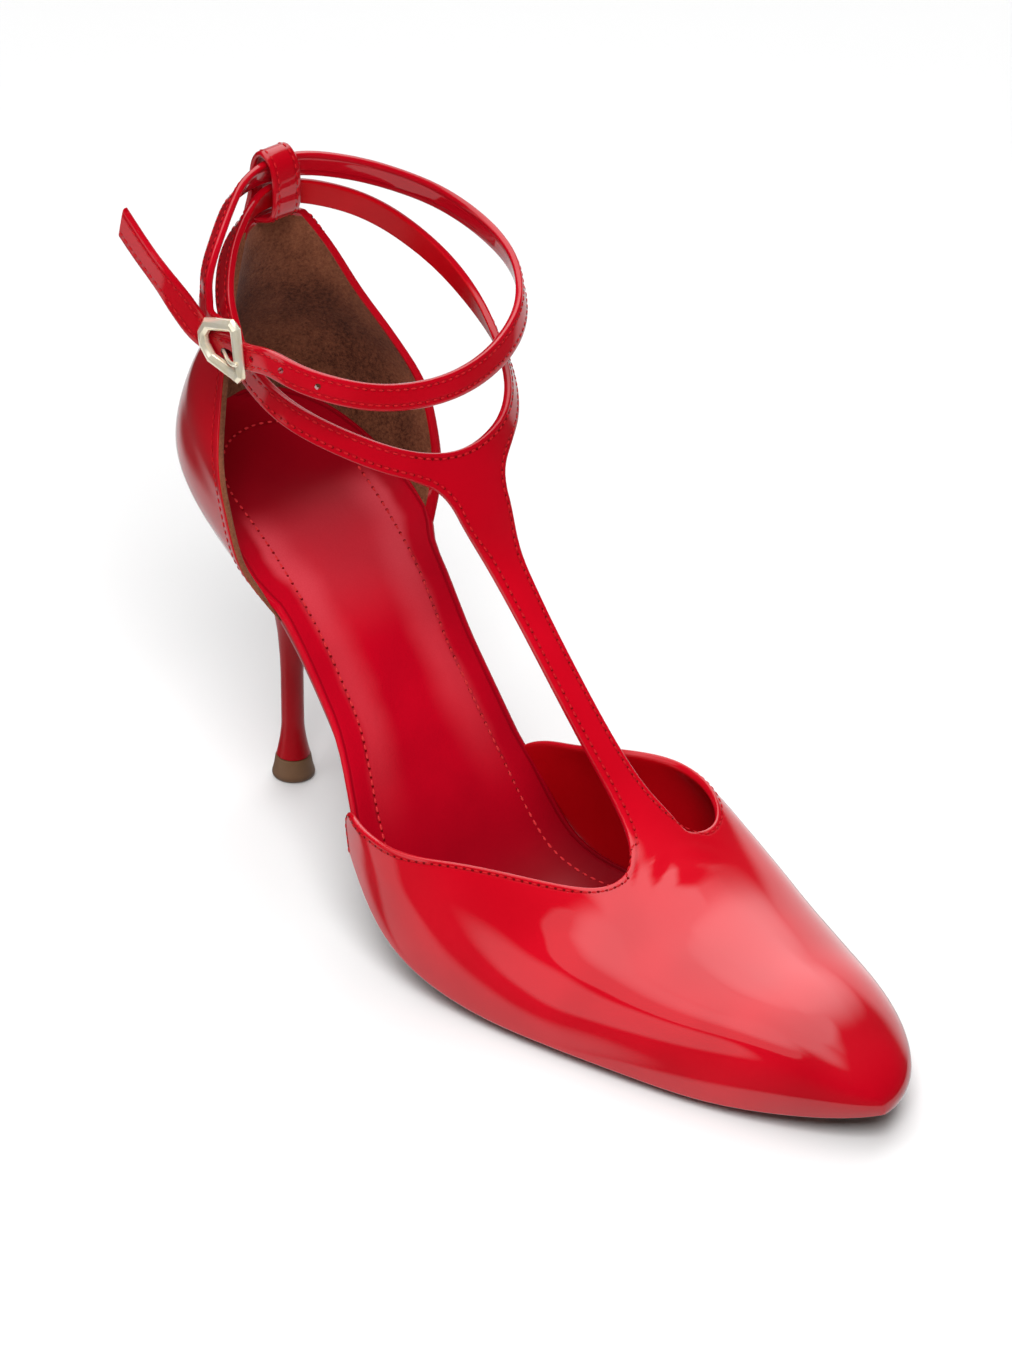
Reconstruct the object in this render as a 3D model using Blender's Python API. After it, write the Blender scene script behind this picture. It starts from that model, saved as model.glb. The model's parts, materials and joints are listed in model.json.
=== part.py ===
"""Strap pump, right shoe: hollow vamp with a T-bar, heel counter, ankle straps, stiletto heel.

Sizes are millimetres in the shoe's own axes: u runs from the back of the heel seat to the toe,
v to the wearer's right (the outer side) and z up from the floor. Meshes are written in metres
with the toe towards -Y and the outer side towards -X.
"""
import math
from collections import namedtuple

import bmesh
import bpy
import numpy as np

MM = 0.001

# Driving sizes
INSOLE_LENGTH = 217.6
INSOLE_THICK = 3.2
OUTSOLE_THICK = 2.2
FIT_GAP = 0.3
EDGE_GAP = 0.5
TOE_SHORT = 2.6
WALL = 1.8
COUNTER_WALL = 2.0
STRAP_WIDTH = 6.0
STRAP_THICK = 1.7
TOE_TIP_V = -2.5
TOE_SPRING = 6.9
SPRING_START = 160.0
SEAT_ROUND = 27.0
BALL_SMOOTH = 9.0
TREAD_HEIGHT = INSOLE_THICK + FIT_GAP + OUTSOLE_THICK
TOP_PIECE_HEIGHT = 5.3
HEEL_U = 21.6
ANKLE_U = 50.0

# Height of the insole face above the floor
Bottom = namedtuple("Bottom", "u height")
BOTTOM = [
    Bottom(0.0, 92.6), Bottom(16.0, 85.5), Bottom(33.0, 76.6), Bottom(50.0, 63.6),
    Bottom(66.0, 48.4), Bottom(83.0, 31.4), Bottom(99.0, 16.2), Bottom(114.0, 8.8),
    Bottom(127.0, 6.3), Bottom(137.0, TREAD_HEIGHT), Bottom(160.0, TREAD_HEIGHT),
]

# Half widths of the insole behind each ball joint, then the ball joints and the toe curves
Edge = namedtuple("Edge", "u half_width")
Ball = namedtuple("Ball", "u half_width lengthwise crosswise")
OUTER_EDGE = [Edge(25.0, 24.3), Edge(45.0, 24.4), Edge(66.0, 26.2), Edge(88.0, 35.5)]
INNER_EDGE = [Edge(25.0, 24.4), Edge(45.0, 23.4), Edge(66.0, 19.9), Edge(99.0, 18.4), Edge(124.0, 29.5)]
OUTER_BALL = Ball(97.6, 38.7, 1.27, 1.41)
INNER_BALL = Ball(142.5, 37.1, 1.62, 1.82)

# Ridge of the instep and how full the section is on each side of it
Ridge = namedtuple("Ridge", "u height outer_fullness inner_fullness")
RIDGE = [
    Ridge(82.0, 109.7, -0.02, 0.10), Ridge(96.5, 88.4, -0.03, 0.11), Ridge(108.5, 72.7, -0.03, 0.12),
    Ridge(123.0, 54.4, -0.04, 0.12), Ridge(134.0, 45.6, -0.05, 0.12), Ridge(143.0, 38.5, -0.05, 0.09),
    Ridge(152.0, 33.5, -0.05, 0.07), Ridge(164.0, 29.1, -0.04, 0.05), Ridge(185.0, 25.3, -0.03, 0.03),
    Ridge(207.0, 24.1, -0.01, 0.03), Ridge(220.0, 23.7, 0.0, 0.01),
]
RIDGE_V = -6.6
TOE_CAP_U = 188.0
TOE_CAP_LENGTHWISE = 2.2
TOE_CAP_CROSSWISE = 1.9
WALL_BULGE = 2.3

# Topline of the vamp: share of the section from the sole edge and the place along the shoe
Top = namedtuple("Top", "share u")
OUTER_TOP = [
    Top(0.0, 84.6), Top(0.045, 83.4), Top(0.073, 90.6), Top(0.10, 98.2), Top(0.14, 107.4),
    Top(0.19, 116.2), Top(0.23, 122.8), Top(0.27, 130.4), Top(0.31, 137.2), Top(0.342, 141.0),
    Top(0.37, 143.3), Top(0.40, 144.2), Top(0.422, 143.7),
]
INNER_TOP = [
    Top(0.0, 82.1), Top(0.03, 86.1), Top(0.092, 97.2), Top(0.18, 114.5), Top(0.25, 127.0),
    Top(0.29, 135.0), Top(0.32, 139.4), Top(0.345, 141.8), Top(0.37, 143.2), Top(0.395, 143.8),
    Top(0.42, 143.5), Top(0.437, 143.2),
]
TOE_ROWS = 22
BAR_COLUMNS = 11

# T-bar: centre line, half width and rounding across
Bar = namedtuple("Bar", "u v height half_width round")
T_BAR = [
    Bar(139.0, -7.2, 41.0, 6.6, 26.0), Bar(134.0, -6.9, 44.8, 4.9, 26.0), Bar(128.6, -6.4, 49.6, 4.2, 26.0),
    Bar(121.0, -5.7, 57.5, 3.95, 26.0), Bar(113.0, -4.8, 67.2, 3.9, 26.0), Bar(105.0, -3.9, 77.2, 3.9, 26.0),
    Bar(98.6, -3.1, 85.8, 4.3, 23.0), Bar(94.2, -2.4, 92.2, 4.8, 19.0),
]

# Flare of the T-bar into the Y head: distance below the head's lower edge and half width
Flare = namedtuple("Flare", "below half_width")
FLARE = [Flare(10.4, 5.2), Flare(7.0, 6.0), Flare(4.2, 7.3), Flare(2.2, 9.1), Flare(0.9, 11.5)]

# Strap centre lines
Point = namedtuple("Point", "u v height")
Y_HEAD = [
    Point(58.6, 26.5, 121.4), Point(64.6, 23.0, 118.7), Point(70.4, 18.8, 116.2), Point(76.6, 12.6, 113.3),
    Point(80.9, 5.4, 111.3), Point(82.4, -1.0, 110.7), Point(82.0, -8.0, 111.4), Point(79.5, -15.2, 113.4),
    Point(75.0, -21.0, 116.2), Point(68.0, -26.0, 119.2), Point(60.2, -29.5, 122.3),
]
SLING = [
    Point(58.6, 26.5, 121.4), Point(53.0, 28.3, 123.8), Point(48.0, 29.3, 126.6), Point(43.0, 29.3, 131.0),
    Point(39.0, 28.0, 136.0), Point(35.0, 25.6, 140.6), Point(30.0, 22.0, 144.2), Point(24.5, 16.6, 147.8),
    Point(20.2, 10.4, 150.7), Point(18.3, 4.5, 152.2), Point(18.0, 0.0, 152.4), Point(18.8, -5.0, 151.9),
    Point(21.2, -10.5, 150.3), Point(25.0, -16.2, 147.9), Point(29.4, -22.0, 144.0), Point(35.0, -26.8, 139.0),
    Point(41.0, -29.8, 134.2), Point(47.5, -31.2, 129.4), Point(54.0, -31.0, 125.4), Point(60.2, -29.5, 122.3),
]
ANKLE = [
    Point(33.4, 31.4, 138.0), Point(30.9, 30.2, 142.4), Point(30.0, 29.2, 146.6), Point(29.0, 27.2, 150.2),
    Point(27.2, 24.0, 153.0), Point(24.2, 19.4, 155.5), Point(20.9, 13.8, 157.6), Point(18.9, 8.0, 158.6),
    Point(18.2, 0.0, 158.9), Point(19.4, -6.0, 158.6), Point(22.0, -12.6, 157.1), Point(26.0, -20.6, 154.2),
    Point(30.4, -26.8, 151.3), Point(36.0, -32.2, 148.1), Point(43.0, -35.6, 144.8), Point(50.5, -36.8, 141.8),
    Point(58.0, -35.8, 139.0), Point(65.0, -32.3, 136.0), Point(71.0, -26.6, 133.6), Point(75.6, -18.6, 131.6),
    Point(79.0, -9.0, 130.6), Point(80.2, 1.2, 130.3), Point(78.8, 11.0, 130.8), Point(75.0, 20.0, 132.2),
    Point(69.5, 27.0, 134.4), Point(63.0, 31.4, 136.4), Point(56.0, 33.6, 137.8),
]
FREE_TIP = [Point(30.8, 40.4, 146.6), Point(23.0, 41.2, 153.3), Point(15.1, 41.6, 160.1)]

# Counter: rows of height above the insole, back of the cup and front rim
Cup = namedtuple("Cup", "rise back_u rim_u rim_half_width square span")
COUNTER = [
    Cup(-3.2, -0.2, 43.3, 25.0, 2.85, 90.0), Cup(3.0, 0.0, 41.2, 27.1, 2.6, 88.0), Cup(10.0, 0.8, 39.6, 29.0, 2.4, 81.0),
    Cup(21.0, 4.2, 35.7, 29.2, 2.2, 71.0), Cup(32.4, 9.6, 29.9, 24.1, 2.1, 61.0), Cup(42.5, 13.0, 24.7, 17.7, 2.0, 54.0),
    Cup(53.3, 15.2, 20.3, 12.2, 2.0, 49.0), Cup(60.5, 15.4, 17.4, 7.0, 2.0, 46.0),
]

# Heel: rows of level, forward fall of the ring, back, widest place, front and half width
HeelRow = namedtuple("HeelRow", "level fall back_u mid_u front_u half_width square")
HEEL = [
    HeelRow(78.0, 0.50, 0.8, 34.0, 43.6, 24.4, 2.6), HeelRow(73.5, 0.50, 2.6, 31.0, 41.6, 19.5, 2.4),
    HeelRow(68.0, 0.48, 5.6, 27.5, 38.4, 14.2, 2.2), HeelRow(61.5, 0.42, 9.6, 25.0, 34.4, 9.8, 2.1),
    HeelRow(54.0, 0.32, 13.6, 23.4, 30.2, 6.6, 2.0), HeelRow(46.0, 0.18, 16.6, 22.4, 27.0, 4.4, 2.0),
    HeelRow(37.0, 0.06, 18.3, 21.8, 25.0, 3.1, 2.0), HeelRow(27.0, 0.0, 18.9, 21.6, 24.3, 2.7, 2.0),
    HeelRow(15.0, 0.0, 18.9, 21.6, 24.3, 2.7, 2.0), HeelRow(11.0, 0.0, 18.6, 21.6, 24.6, 3.0, 2.0),
    HeelRow(8.0, 0.0, 18.1, 21.6, 25.1, 3.5, 2.0), HeelRow(TOP_PIECE_HEIGHT + FIT_GAP, 0.0, 17.6, 21.6, 25.6, 4.0, 2.0),
]
TopPiece = namedtuple("TopPiece", "level radius")
TOP_PIECE = [TopPiece(TOP_PIECE_HEIGHT, 4.2), TopPiece(2.6, 4.6), TopPiece(0.7, 5.1), TopPiece(0.0, 4.9)]

# Loop on top of the counter, seen from the side
LoopRow = namedtuple("LoopRow", "u height")
HEEL_LOOP = [
    LoopRow(20.9, 148.4), LoopRow(22.3, 153.0), LoopRow(22.2, 158.0), LoopRow(20.6, 162.2), LoopRow(17.6, 163.4),
    LoopRow(15.2, 160.8), LoopRow(14.2, 156.2), LoopRow(13.4, 151.2),
]
LOOP_WIDTH = 7.8
LOOP_THICK = 1.3

# Buckle
PIN = np.array([39.3, 34.0, 136.6])
PIN_HALF = 0.75
FRONT_BAR = np.array([49.6, 36.4, 138.4])
FRONT_BAR_HALF = 7.6
BACK_BAR_HALF = 6.2
BAR_WIDTH = 2.1
BAR_THICK = 1.9
HOLE_PITCH = 8.3
HOLE_RADIUS = 1.15
HOLES_FRONT = 3
HOLES_BACK = 1


def monotone(xs, ys, at):
    """Smooth curve through a table's rows that makes no new bumps between them."""
    xs = np.asarray(xs, float)
    ys = np.asarray(ys, float)
    at = np.clip(np.asarray(at, float), xs[0], xs[-1])
    step = np.diff(xs)
    slope = np.diff(ys) / step
    tangent = np.concatenate([slope[:1], np.zeros(len(xs) - 2), slope[-1:]])
    for i in range(1, len(xs) - 1):
        if slope[i - 1] * slope[i] > 0:
            near = 2 * step[i] + step[i - 1]
            far = step[i] + 2 * step[i - 1]
            tangent[i] = (near + far) / (near / slope[i - 1] + far / slope[i])
    k = np.clip(np.searchsorted(xs, at) - 1, 0, len(xs) - 2)
    t = (at - xs[k]) / step[k]
    start = (1 + 2 * t) * (1 - t) ** 2 * ys[k] + t * (1 - t) ** 2 * step[k] * tangent[k]
    return start + t ** 2 * (3 - 2 * t) * ys[k + 1] + t ** 2 * (t - 1) * step[k] * tangent[k + 1]


def column(table, name):
    """One named column of a table."""
    return [getattr(row, name) for row in table]


def along(table, name, at):
    """A named column as a smooth function of the table's first column."""
    return monotone([row[0] for row in table], column(table, name), at)


def curve_through(points, count):
    """Evenly spaced points on the natural cubic curve through the given points."""
    points = np.asarray(points, float)
    chord = np.concatenate([[0.0], np.cumsum(np.linalg.norm(np.diff(points, axis=0), axis=1))])
    h = np.diff(chord)
    n = len(points)
    matrix = np.eye(n)
    right = np.zeros_like(points)
    for i in range(1, n - 1):
        matrix[i, i - 1:i + 2] = [h[i - 1], 2 * (h[i - 1] + h[i]), h[i]]
        right[i] = 6 * ((points[i + 1] - points[i]) / h[i] - (points[i] - points[i - 1]) / h[i - 1])
    bend = np.linalg.solve(matrix, right)

    def place(at):
        k = np.clip(np.searchsorted(chord, at) - 1, 0, n - 2)
        a = ((chord[k + 1] - at) / h[k])[:, None]
        b = 1 - a
        swell = ((a ** 3 - a) * bend[k] + (b ** 3 - b) * bend[k + 1]) * (h[k] ** 2)[:, None] / 6
        return a * points[k] + b * points[k + 1] + swell

    fine = place(np.linspace(0, chord[-1], 40 * n))
    length = np.concatenate([[0.0], np.cumsum(np.linalg.norm(np.diff(fine, axis=0), axis=1))])
    even = np.linspace(0, length[-1], count)
    return np.stack([np.interp(even, length, fine[:, i]) for i in range(3)], axis=1)


def closed_curve(points, count):
    """Evenly spaced points once round a closed smooth curve, the first point repeated at the end."""
    points = [np.array(p, float) for p in points]
    lap = points[-4:] + points + points[:5]
    fine = curve_through(lap, 40 * len(lap))
    first = int(np.argmin(np.linalg.norm(fine[:len(fine) // 2] - points[0], axis=1)))
    last = len(fine) // 2 + int(np.argmin(np.linalg.norm(fine[len(fine) // 2:] - points[0], axis=1)))
    return curve_through(fine[first:last + 1:4], count)


def bed_height(u):
    """Height of the insole face, with the toe spring."""
    u = np.asarray(u, float)
    lift = np.clip(u - SPRING_START, 0, None) / (INSOLE_LENGTH - SPRING_START)
    return along(BOTTOM, "height", u) + TOE_SPRING * lift ** 2


def outline_width(u, outer, grow, short):
    """Half width of the insole outline on one side, before the ball joint is smoothed."""
    table, ball, sign = (OUTER_EDGE, OUTER_BALL, 1.0) if outer else (INNER_EDGE, INNER_BALL, -1.0)
    tip = sign * TOE_TIP_V
    t = np.clip((u - ball.u) / (INSOLE_LENGTH + grow - short - ball.u), 0, 1)
    round_off = np.clip(1 - t ** ball.lengthwise, 0, 1) ** (1 / ball.crosswise)
    fore = tip + (ball.half_width + grow - tip) * round_off
    rows_u = column(table, "u") + [ball.u]
    rows_w = column(table, "half_width") + [ball.half_width]
    s = np.clip(1 - (u + grow) / (SEAT_ROUND + grow), 0, 1)
    back = (monotone(rows_u, rows_w, u) + grow) * np.sqrt(np.clip(1 - s ** 2.3, 0, 1))
    return np.where(u > ball.u, fore, back)


def half_width(u, outer, grow=0.0, short=0.0):
    """Half width of the insole outline on one side, grown by a clearance or a wall, shortened at the toe."""
    u = np.asarray(u, float)
    ball = OUTER_BALL if outer else INNER_BALL
    reach = BALL_SMOOTH * np.exp(-((u - ball.u) / (1.8 * BALL_SMOOTH)) ** 2)
    steps = np.linspace(-1, 1, 5)
    return sum(outline_width(u + reach * step, outer, grow, short) for step in steps) / len(steps)


def ridge_height(u, grow):
    """Height of the vamp's ridge, rounded off at the toe."""
    inset = WALL + FIT_GAP - grow
    foot = bed_height(u) - INSOLE_THICK
    top = along(RIDGE, "height", u) - inset
    t = np.clip((u - TOE_CAP_U) / (INSOLE_LENGTH + grow - TOE_CAP_U), 0, 1)
    return foot + (top - foot) * np.clip(1 - t ** TOE_CAP_LENGTHWISE, 0, 1) ** (1 / TOE_CAP_CROSSWISE)


def vamp_point(u, share, grow):
    """Point of the vamp: share 0 is the outer sole edge, 0.5 the ridge and 1 the inner sole edge."""
    u, share = np.broadcast_arrays(np.asarray(u, float), np.asarray(share, float))
    foot = bed_height(u) - INSOLE_THICK
    rise = ridge_height(u, grow) - foot
    forward = np.clip((u - 150.0) / (INSOLE_LENGTH + grow - 150.0), 0, 1)
    ridge_v = RIDGE_V * (1 - forward) + TOE_TIP_V * forward
    angle = np.pi * share
    outer = share <= 0.5
    fullness = np.where(outer, along(RIDGE, "outer_fullness", u), along(RIDGE, "inner_fullness", u))
    swell = 1 + fullness * np.sin(2 * angle) ** 2
    outer_span = half_width(u, True, grow) - ridge_v
    inner_span = half_width(u, False, grow) + ridge_v
    span = np.where(outer, outer_span, inner_span)
    near_tip = np.sqrt(np.clip((INSOLE_LENGTH + grow - u) / 16.0, 0, 1))
    bulge = WALL_BULGE * near_tip * np.sin(np.clip(2 * np.minimum(angle, np.pi - angle), 0, np.pi))
    v = ridge_v + span * np.cos(angle) * swell + np.where(outer, bulge, -bulge)
    return np.stack([u, v, foot + rise * np.sin(angle) * swell], axis=-1)


def counter_point(turn, rise, grow):
    """Point of the counter's cup: turn runs round the back from -1 to 1, rise is the height above the insole."""
    back = along(COUNTER, "back_u", rise) - grow
    rim = along(COUNTER, "rim_u", rise)
    wide = along(COUNTER, "rim_half_width", rise) + grow
    power = 2 / along(COUNTER, "square", rise)
    span = np.radians(along(COUNTER, "span", rise))
    end = np.cos(span) ** power
    reach = (np.cos(turn * span) ** power - end) / (1 - end)
    side = np.sign(turn) * (np.abs(np.sin(turn * span)) / np.sin(span)) ** power
    u = rim - (rim - back) * np.clip(reach, 0, 1)
    return np.stack([u, wide * side, bed_height(np.clip(u, 0, None)) + rise], axis=-1)


def to_metres(points):
    """Shoe axes in millimetres to the script's axes in metres."""
    points = np.asarray(points, float)
    return np.stack([-points[..., 1], -points[..., 0], points[..., 2]], axis=-1) * MM


# Mesh building


def add_object(name, points, faces):
    """One object from points in shoe axes, with its faces turned outwards."""
    mesh = bpy.data.meshes.new(name)
    mesh.from_pydata([tuple(p) for p in to_metres(points)], [], faces)
    work = bmesh.new()
    work.from_mesh(mesh)
    bmesh.ops.remove_doubles(work, verts=work.verts, dist=1e-6)
    bmesh.ops.recalc_face_normals(work, faces=work.faces)
    if work.calc_volume(signed=True) < 0:
        bmesh.ops.reverse_faces(work, faces=work.faces)
    work.to_mesh(mesh)
    work.free()
    made = bpy.data.objects.new(name, mesh)
    bpy.context.scene.collection.objects.link(made)
    return made


def paint(made, colour, roughness, metallic=0.0):
    """The object's own plain material."""
    material = bpy.data.materials.new(made.name)
    material.use_nodes = True
    shader = material.node_tree.nodes["Principled BSDF"]
    shader.inputs["Base Color"].default_value = (*colour, 1.0)
    shader.inputs["Roughness"].default_value = roughness
    shader.inputs["Metallic"].default_value = metallic
    made.data.materials.append(material)
    return made


def boundary_edges(faces):
    """Directed edges that only one face uses."""
    edges = {}
    for face in faces:
        for a, b in zip(face, face[1:] + face[:1]):
            edges[(a, b)] = edges.get((a, b), 0) + 1
    return [(a, b) for (a, b) in edges if (b, a) not in edges]


def sheet_solid(name, outside, inside, faces):
    """Closed solid between an outside sheet and its inside twin."""
    count = len(outside)
    solid = list(faces) + [[i + count for i in reversed(face)] for face in faces]
    solid += [[b, a, a + count, b + count] for a, b in boundary_edges(faces)]
    return add_object(name, np.concatenate([outside, inside]), solid)


def rings_solid(name, rings):
    """Closed solid through rings of the same count, capped at both ends."""
    count = len(rings[0])
    points = [p for ring in rings for p in ring]
    faces = []
    for r in range(len(rings) - 1):
        for i in range(count):
            j = (i + 1) % count
            faces.append([r * count + i, r * count + j, (r + 1) * count + j, (r + 1) * count + i])
    for r in (0, len(rings) - 1):
        points.append(np.mean(rings[r], axis=0))
        middle = len(points) - 1
        faces += [[r * count + i, r * count + (i + 1) % count, middle] for i in range(count)]
    return add_object(name, np.array(points), faces)


def unit(vectors):
    """Vectors of length one."""
    vectors = np.asarray(vectors, float)
    return vectors / np.linalg.norm(vectors, axis=-1, keepdims=True)


def strap_frames(path, lean):
    """Tangent, width direction and outward normal of a strap that lies round the ankle."""
    tangent = unit(np.gradient(path, axis=0))
    inward = np.stack([ANKLE_U - path[:, 0], -path[:, 1], np.zeros(len(path))], axis=1)
    up = unit(unit(inward) * np.tan(np.radians(lean))[:, None] + [0.0, 0.0, 1.0])
    width = unit(up - tangent * np.sum(up * tangent, axis=1, keepdims=True))
    normal = np.cross(tangent, width)
    outward = np.sign(np.sum(normal * -inward, axis=1, keepdims=True))
    return tangent, width, normal * outward


def strap_solid(name, path, width_dir, normal, width, thick):
    """Strap of rectangular section along a path."""
    half = width / 2
    deep = thick / 2
    corners = [(-half, -deep), (-half, deep), (half, deep), (half, -deep)]
    rings = [[p + w * a + n * b for a, b in corners] for p, w, n in zip(path, width_dir, normal)]
    return rings_solid(name, rings)


def plan_solid(name, us, grow, short, top, bottom):
    """Slab that follows the insole outline between two heights given as functions of u."""
    us = np.asarray(us, float)
    across = np.linspace(-1, 1, 5)
    outer = half_width(us, True, grow, short)
    inner = half_width(us, False, grow, short)
    middle = (outer - inner) / 2
    span = (outer + inner) / 2
    v = middle[:, None] + span[:, None] * across[None, :]
    u = np.repeat(us[:, None], len(across), axis=1)
    upper = np.stack([u, v, np.repeat(top(us)[:, None], len(across), axis=1)], axis=-1).reshape(-1, 3)
    lower = np.stack([u, v, np.repeat(bottom(us)[:, None], len(across), axis=1)], axis=-1).reshape(-1, 3)
    wide = len(across)
    faces = []
    for i in range(len(us) - 1):
        for j in range(wide - 1):
            faces.append([i * wide + j, (i + 1) * wide + j, (i + 1) * wide + j + 1, i * wide + j + 1])
    return sheet_solid(name, upper, lower, faces)


def make_sole():
    """Insole board and outsole."""
    back = [EDGE_GAP + step for step in (0.05, 0.7, 2.0, 4.0, 7.0, 11.0, 16.0, 22.0)]
    fore = list(np.linspace(29.0, 160.0, 20)) + list(INSOLE_LENGTH - EDGE_GAP - TOE_SHORT - 54.0 * np.linspace(0.93, 0.02, 12) ** 2)
    insole = plan_solid("insole", back + fore, -EDGE_GAP, TOE_SHORT, bed_height, lambda u: bed_height(u) - INSOLE_THICK)
    paint(insole, (0.45, 0.005, 0.01), 0.4)
    floor_gap = INSOLE_THICK + FIT_GAP
    walk = [46.0, 52.0, 58.0] + list(np.linspace(64.0, 137.0, 13)) + list(np.linspace(145.0, 160.0, 3))
    walk += list(INSOLE_LENGTH + 0.5 - 57.0 * np.linspace(0.94, 0.02, 12) ** 2)
    tuck = np.interp(walk, [150.0, 205.0], [-1.2, 0.5])
    outsole = plan_solid("outsole", walk, tuck, 0.0, lambda u: bed_height(u) - floor_gap,
                         lambda u: bed_height(u) - floor_gap - OUTSOLE_THICK)
    paint(outsole, (0.09, 0.04, 0.02), 0.55)


def vamp_shares():
    """Section shares of the vamp's columns and the places where they meet the topline."""
    outer = list(OUTER_TOP)
    inner = list(INNER_TOP)
    outer_share = [0.0, 0.022, 0.045, 0.06, 0.08, 0.105, 0.14, 0.18, 0.22, 0.26, 0.30, 0.335, 0.36, 0.382, 0.402]
    inner_share = [0.0, 0.022, 0.05, 0.08, 0.115, 0.155, 0.20, 0.24, 0.275, 0.305, 0.333, 0.357, 0.38, 0.40, 0.42]
    first = outer[-1].share
    last = 1 - inner[-1].share
    bar = list(np.linspace(first, last, BAR_COLUMNS))
    shares = outer_share + bar + [1 - s for s in reversed(inner_share)]
    tops = [float(along(outer, "u", s)) for s in outer_share]
    tops += list(np.linspace(outer[-1].u, inner[-1].u, BAR_COLUMNS))
    tops += [float(along(inner, "u", s)) for s in reversed(inner_share)]
    return np.array(shares), np.array(tops), len(outer_share), len(outer_share) + BAR_COLUMNS


def lower_loop():
    """Centre lines of the Y head and of the sling strap, cut from one closed curve."""
    lap = closed_curve(Y_HEAD[:-1] + SLING[::-1][:-1], 421)
    cut = int(np.argmin(np.linalg.norm(lap - np.array(Y_HEAD[-1]), axis=1)))
    head = curve_through(lap[:cut + 1:3], 31)
    sling = curve_through(lap[cut::3], 74)
    return head, sling


def make_vamp():
    """Hollow vamp with its T-bar and the Y head, one sheet of even wall."""
    shares, tops, bar_first, bar_end = vamp_shares()
    columns = len(shares)
    spread = 1 - (1 - np.linspace(0, 1, TOE_ROWS + 1)) ** 1.8
    layers = []
    for grow in (FIT_GAP + WALL, FIT_GAP):
        tip = INSOLE_LENGTH + grow
        us = tops[None, :] + (tip - tops[None, :]) * spread[:, None]
        grid = vamp_point(us, np.repeat(shares[None, :], TOE_ROWS + 1, axis=0), grow)
        layers.append(grid)
    outside = [p for row in layers[0][:-1] for p in row] + [layers[0][-1].mean(axis=0)]
    inside = [p for row in layers[1][:-1] for p in row] + [layers[1][-1].mean(axis=0)]
    pole = len(outside) - 1
    faces = []
    for i in range(TOE_ROWS - 1):
        for j in range(columns - 1):
            a = i * columns + j
            faces.append([a, a + 1, a + columns + 1, a + columns])
    last = (TOE_ROWS - 1) * columns
    faces += [[last + j, last + j + 1, pole] for j in range(columns - 1)]

    head, _ = lower_loop()
    front = np.exp(-(head[:, 1] / 17.0) ** 2)
    _, head_width, head_normal = strap_frames(head, 8.0 + 25.0 * front)
    head_half = STRAP_WIDTH / 2 + 0.3 * front
    head_rows = len(head)
    ladder = np.linspace(-1, 1, 5)
    first_head = len(outside)
    for p, w, n, half in zip(head, head_width, head_normal, head_half):
        outside += [p + w * half * s + n * WALL / 2 for s in ladder]
        inside += [p + w * half * s - n * WALL / 2 for s in ladder]
    for i in range(head_rows - 1):
        for k in range(len(ladder) - 1):
            a = first_head + i * len(ladder) + k
            faces.append([a, a + 1, a + len(ladder) + 1, a + len(ladder)])

    bar_columns = bar_end - bar_first
    centre_row = int(np.argmin(np.abs(head[:, 1] + 1.8)))
    first_row = centre_row - (bar_columns - 1) // 2
    root = np.array(outside[bar_first:bar_end])
    root_in = np.array(inside[bar_first:bar_end])
    previous = list(range(bar_first, bar_end))
    rows = np.array([[b.u, b.v, b.height, b.half_width, b.round] for b in T_BAR])
    spine = rows[:, [0, 2]]
    slope = unit(np.gradient(np.concatenate([[[143.5, 38.5]], spine, [[90.3, 98.0]]]), axis=0)[1:-1])
    middle_in = root_in[bar_columns // 2] - root[bar_columns // 2]
    for step, (row, run) in enumerate(zip(rows, slope)):
        offset = np.linspace(1, -1, bar_columns) * row[3]
        normal = np.array([-run[1], 0.0, run[0]])
        normal = normal * np.sign(normal[2])
        base = np.stack([np.full(bar_columns, row[0]), row[1] + offset, np.full(bar_columns, row[2])], axis=1)
        place = base - normal * (offset ** 2 / (2 * row[4]))[:, None]
        blend = [0.55, 0.15][step] if step < 2 else 0.0
        from_root = root + (base[bar_columns // 2] - root[bar_columns // 2])
        from_root[:, 1] = place[:, 1]
        place = place * (1 - blend) + from_root * blend
        depth = -normal * WALL * (1 - blend) + middle_in * blend
        start = len(outside)
        outside += list(place)
        inside += list(place + depth)
        current = list(range(start, start + bar_columns))
        faces += [[current[j], current[j + 1], previous[j + 1], previous[j]] for j in range(bar_columns - 1)]
        previous = current
    rim = head - head_width * head_half[:, None] + head_normal * WALL / 2
    run = np.cumsum(np.linalg.norm(np.diff(rim, axis=0, prepend=rim[:1]), axis=1))
    for flare in FLARE:
        at = run[centre_row] + np.linspace(-1, 1, bar_columns) * flare.half_width
        down, out = (np.concatenate([cut_at(part, run, a) for a in at]) for part in (head_width, head_normal))
        place = np.concatenate([cut_at(rim, run, a) for a in at]) - unit(down) * flare.below
        start = len(outside)
        outside += list(place)
        inside += list(place - unit(out) * WALL)
        current = list(range(start, start + bar_columns))
        faces += [[current[j], current[j + 1], previous[j + 1], previous[j]] for j in range(bar_columns - 1)]
        previous = current
    edge = [first_head + (first_row + j) * len(ladder) for j in range(bar_columns)]
    faces += [[edge[j], edge[j + 1], previous[j + 1], previous[j]] for j in range(bar_columns - 1)]

    outside = np.array(outside)
    inside = np.array(inside)
    vamp = sheet_solid("vamp", outside, inside, wind_alike(faces))
    paint(vamp, (0.5, 0.003, 0.008), 0.12)


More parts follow.
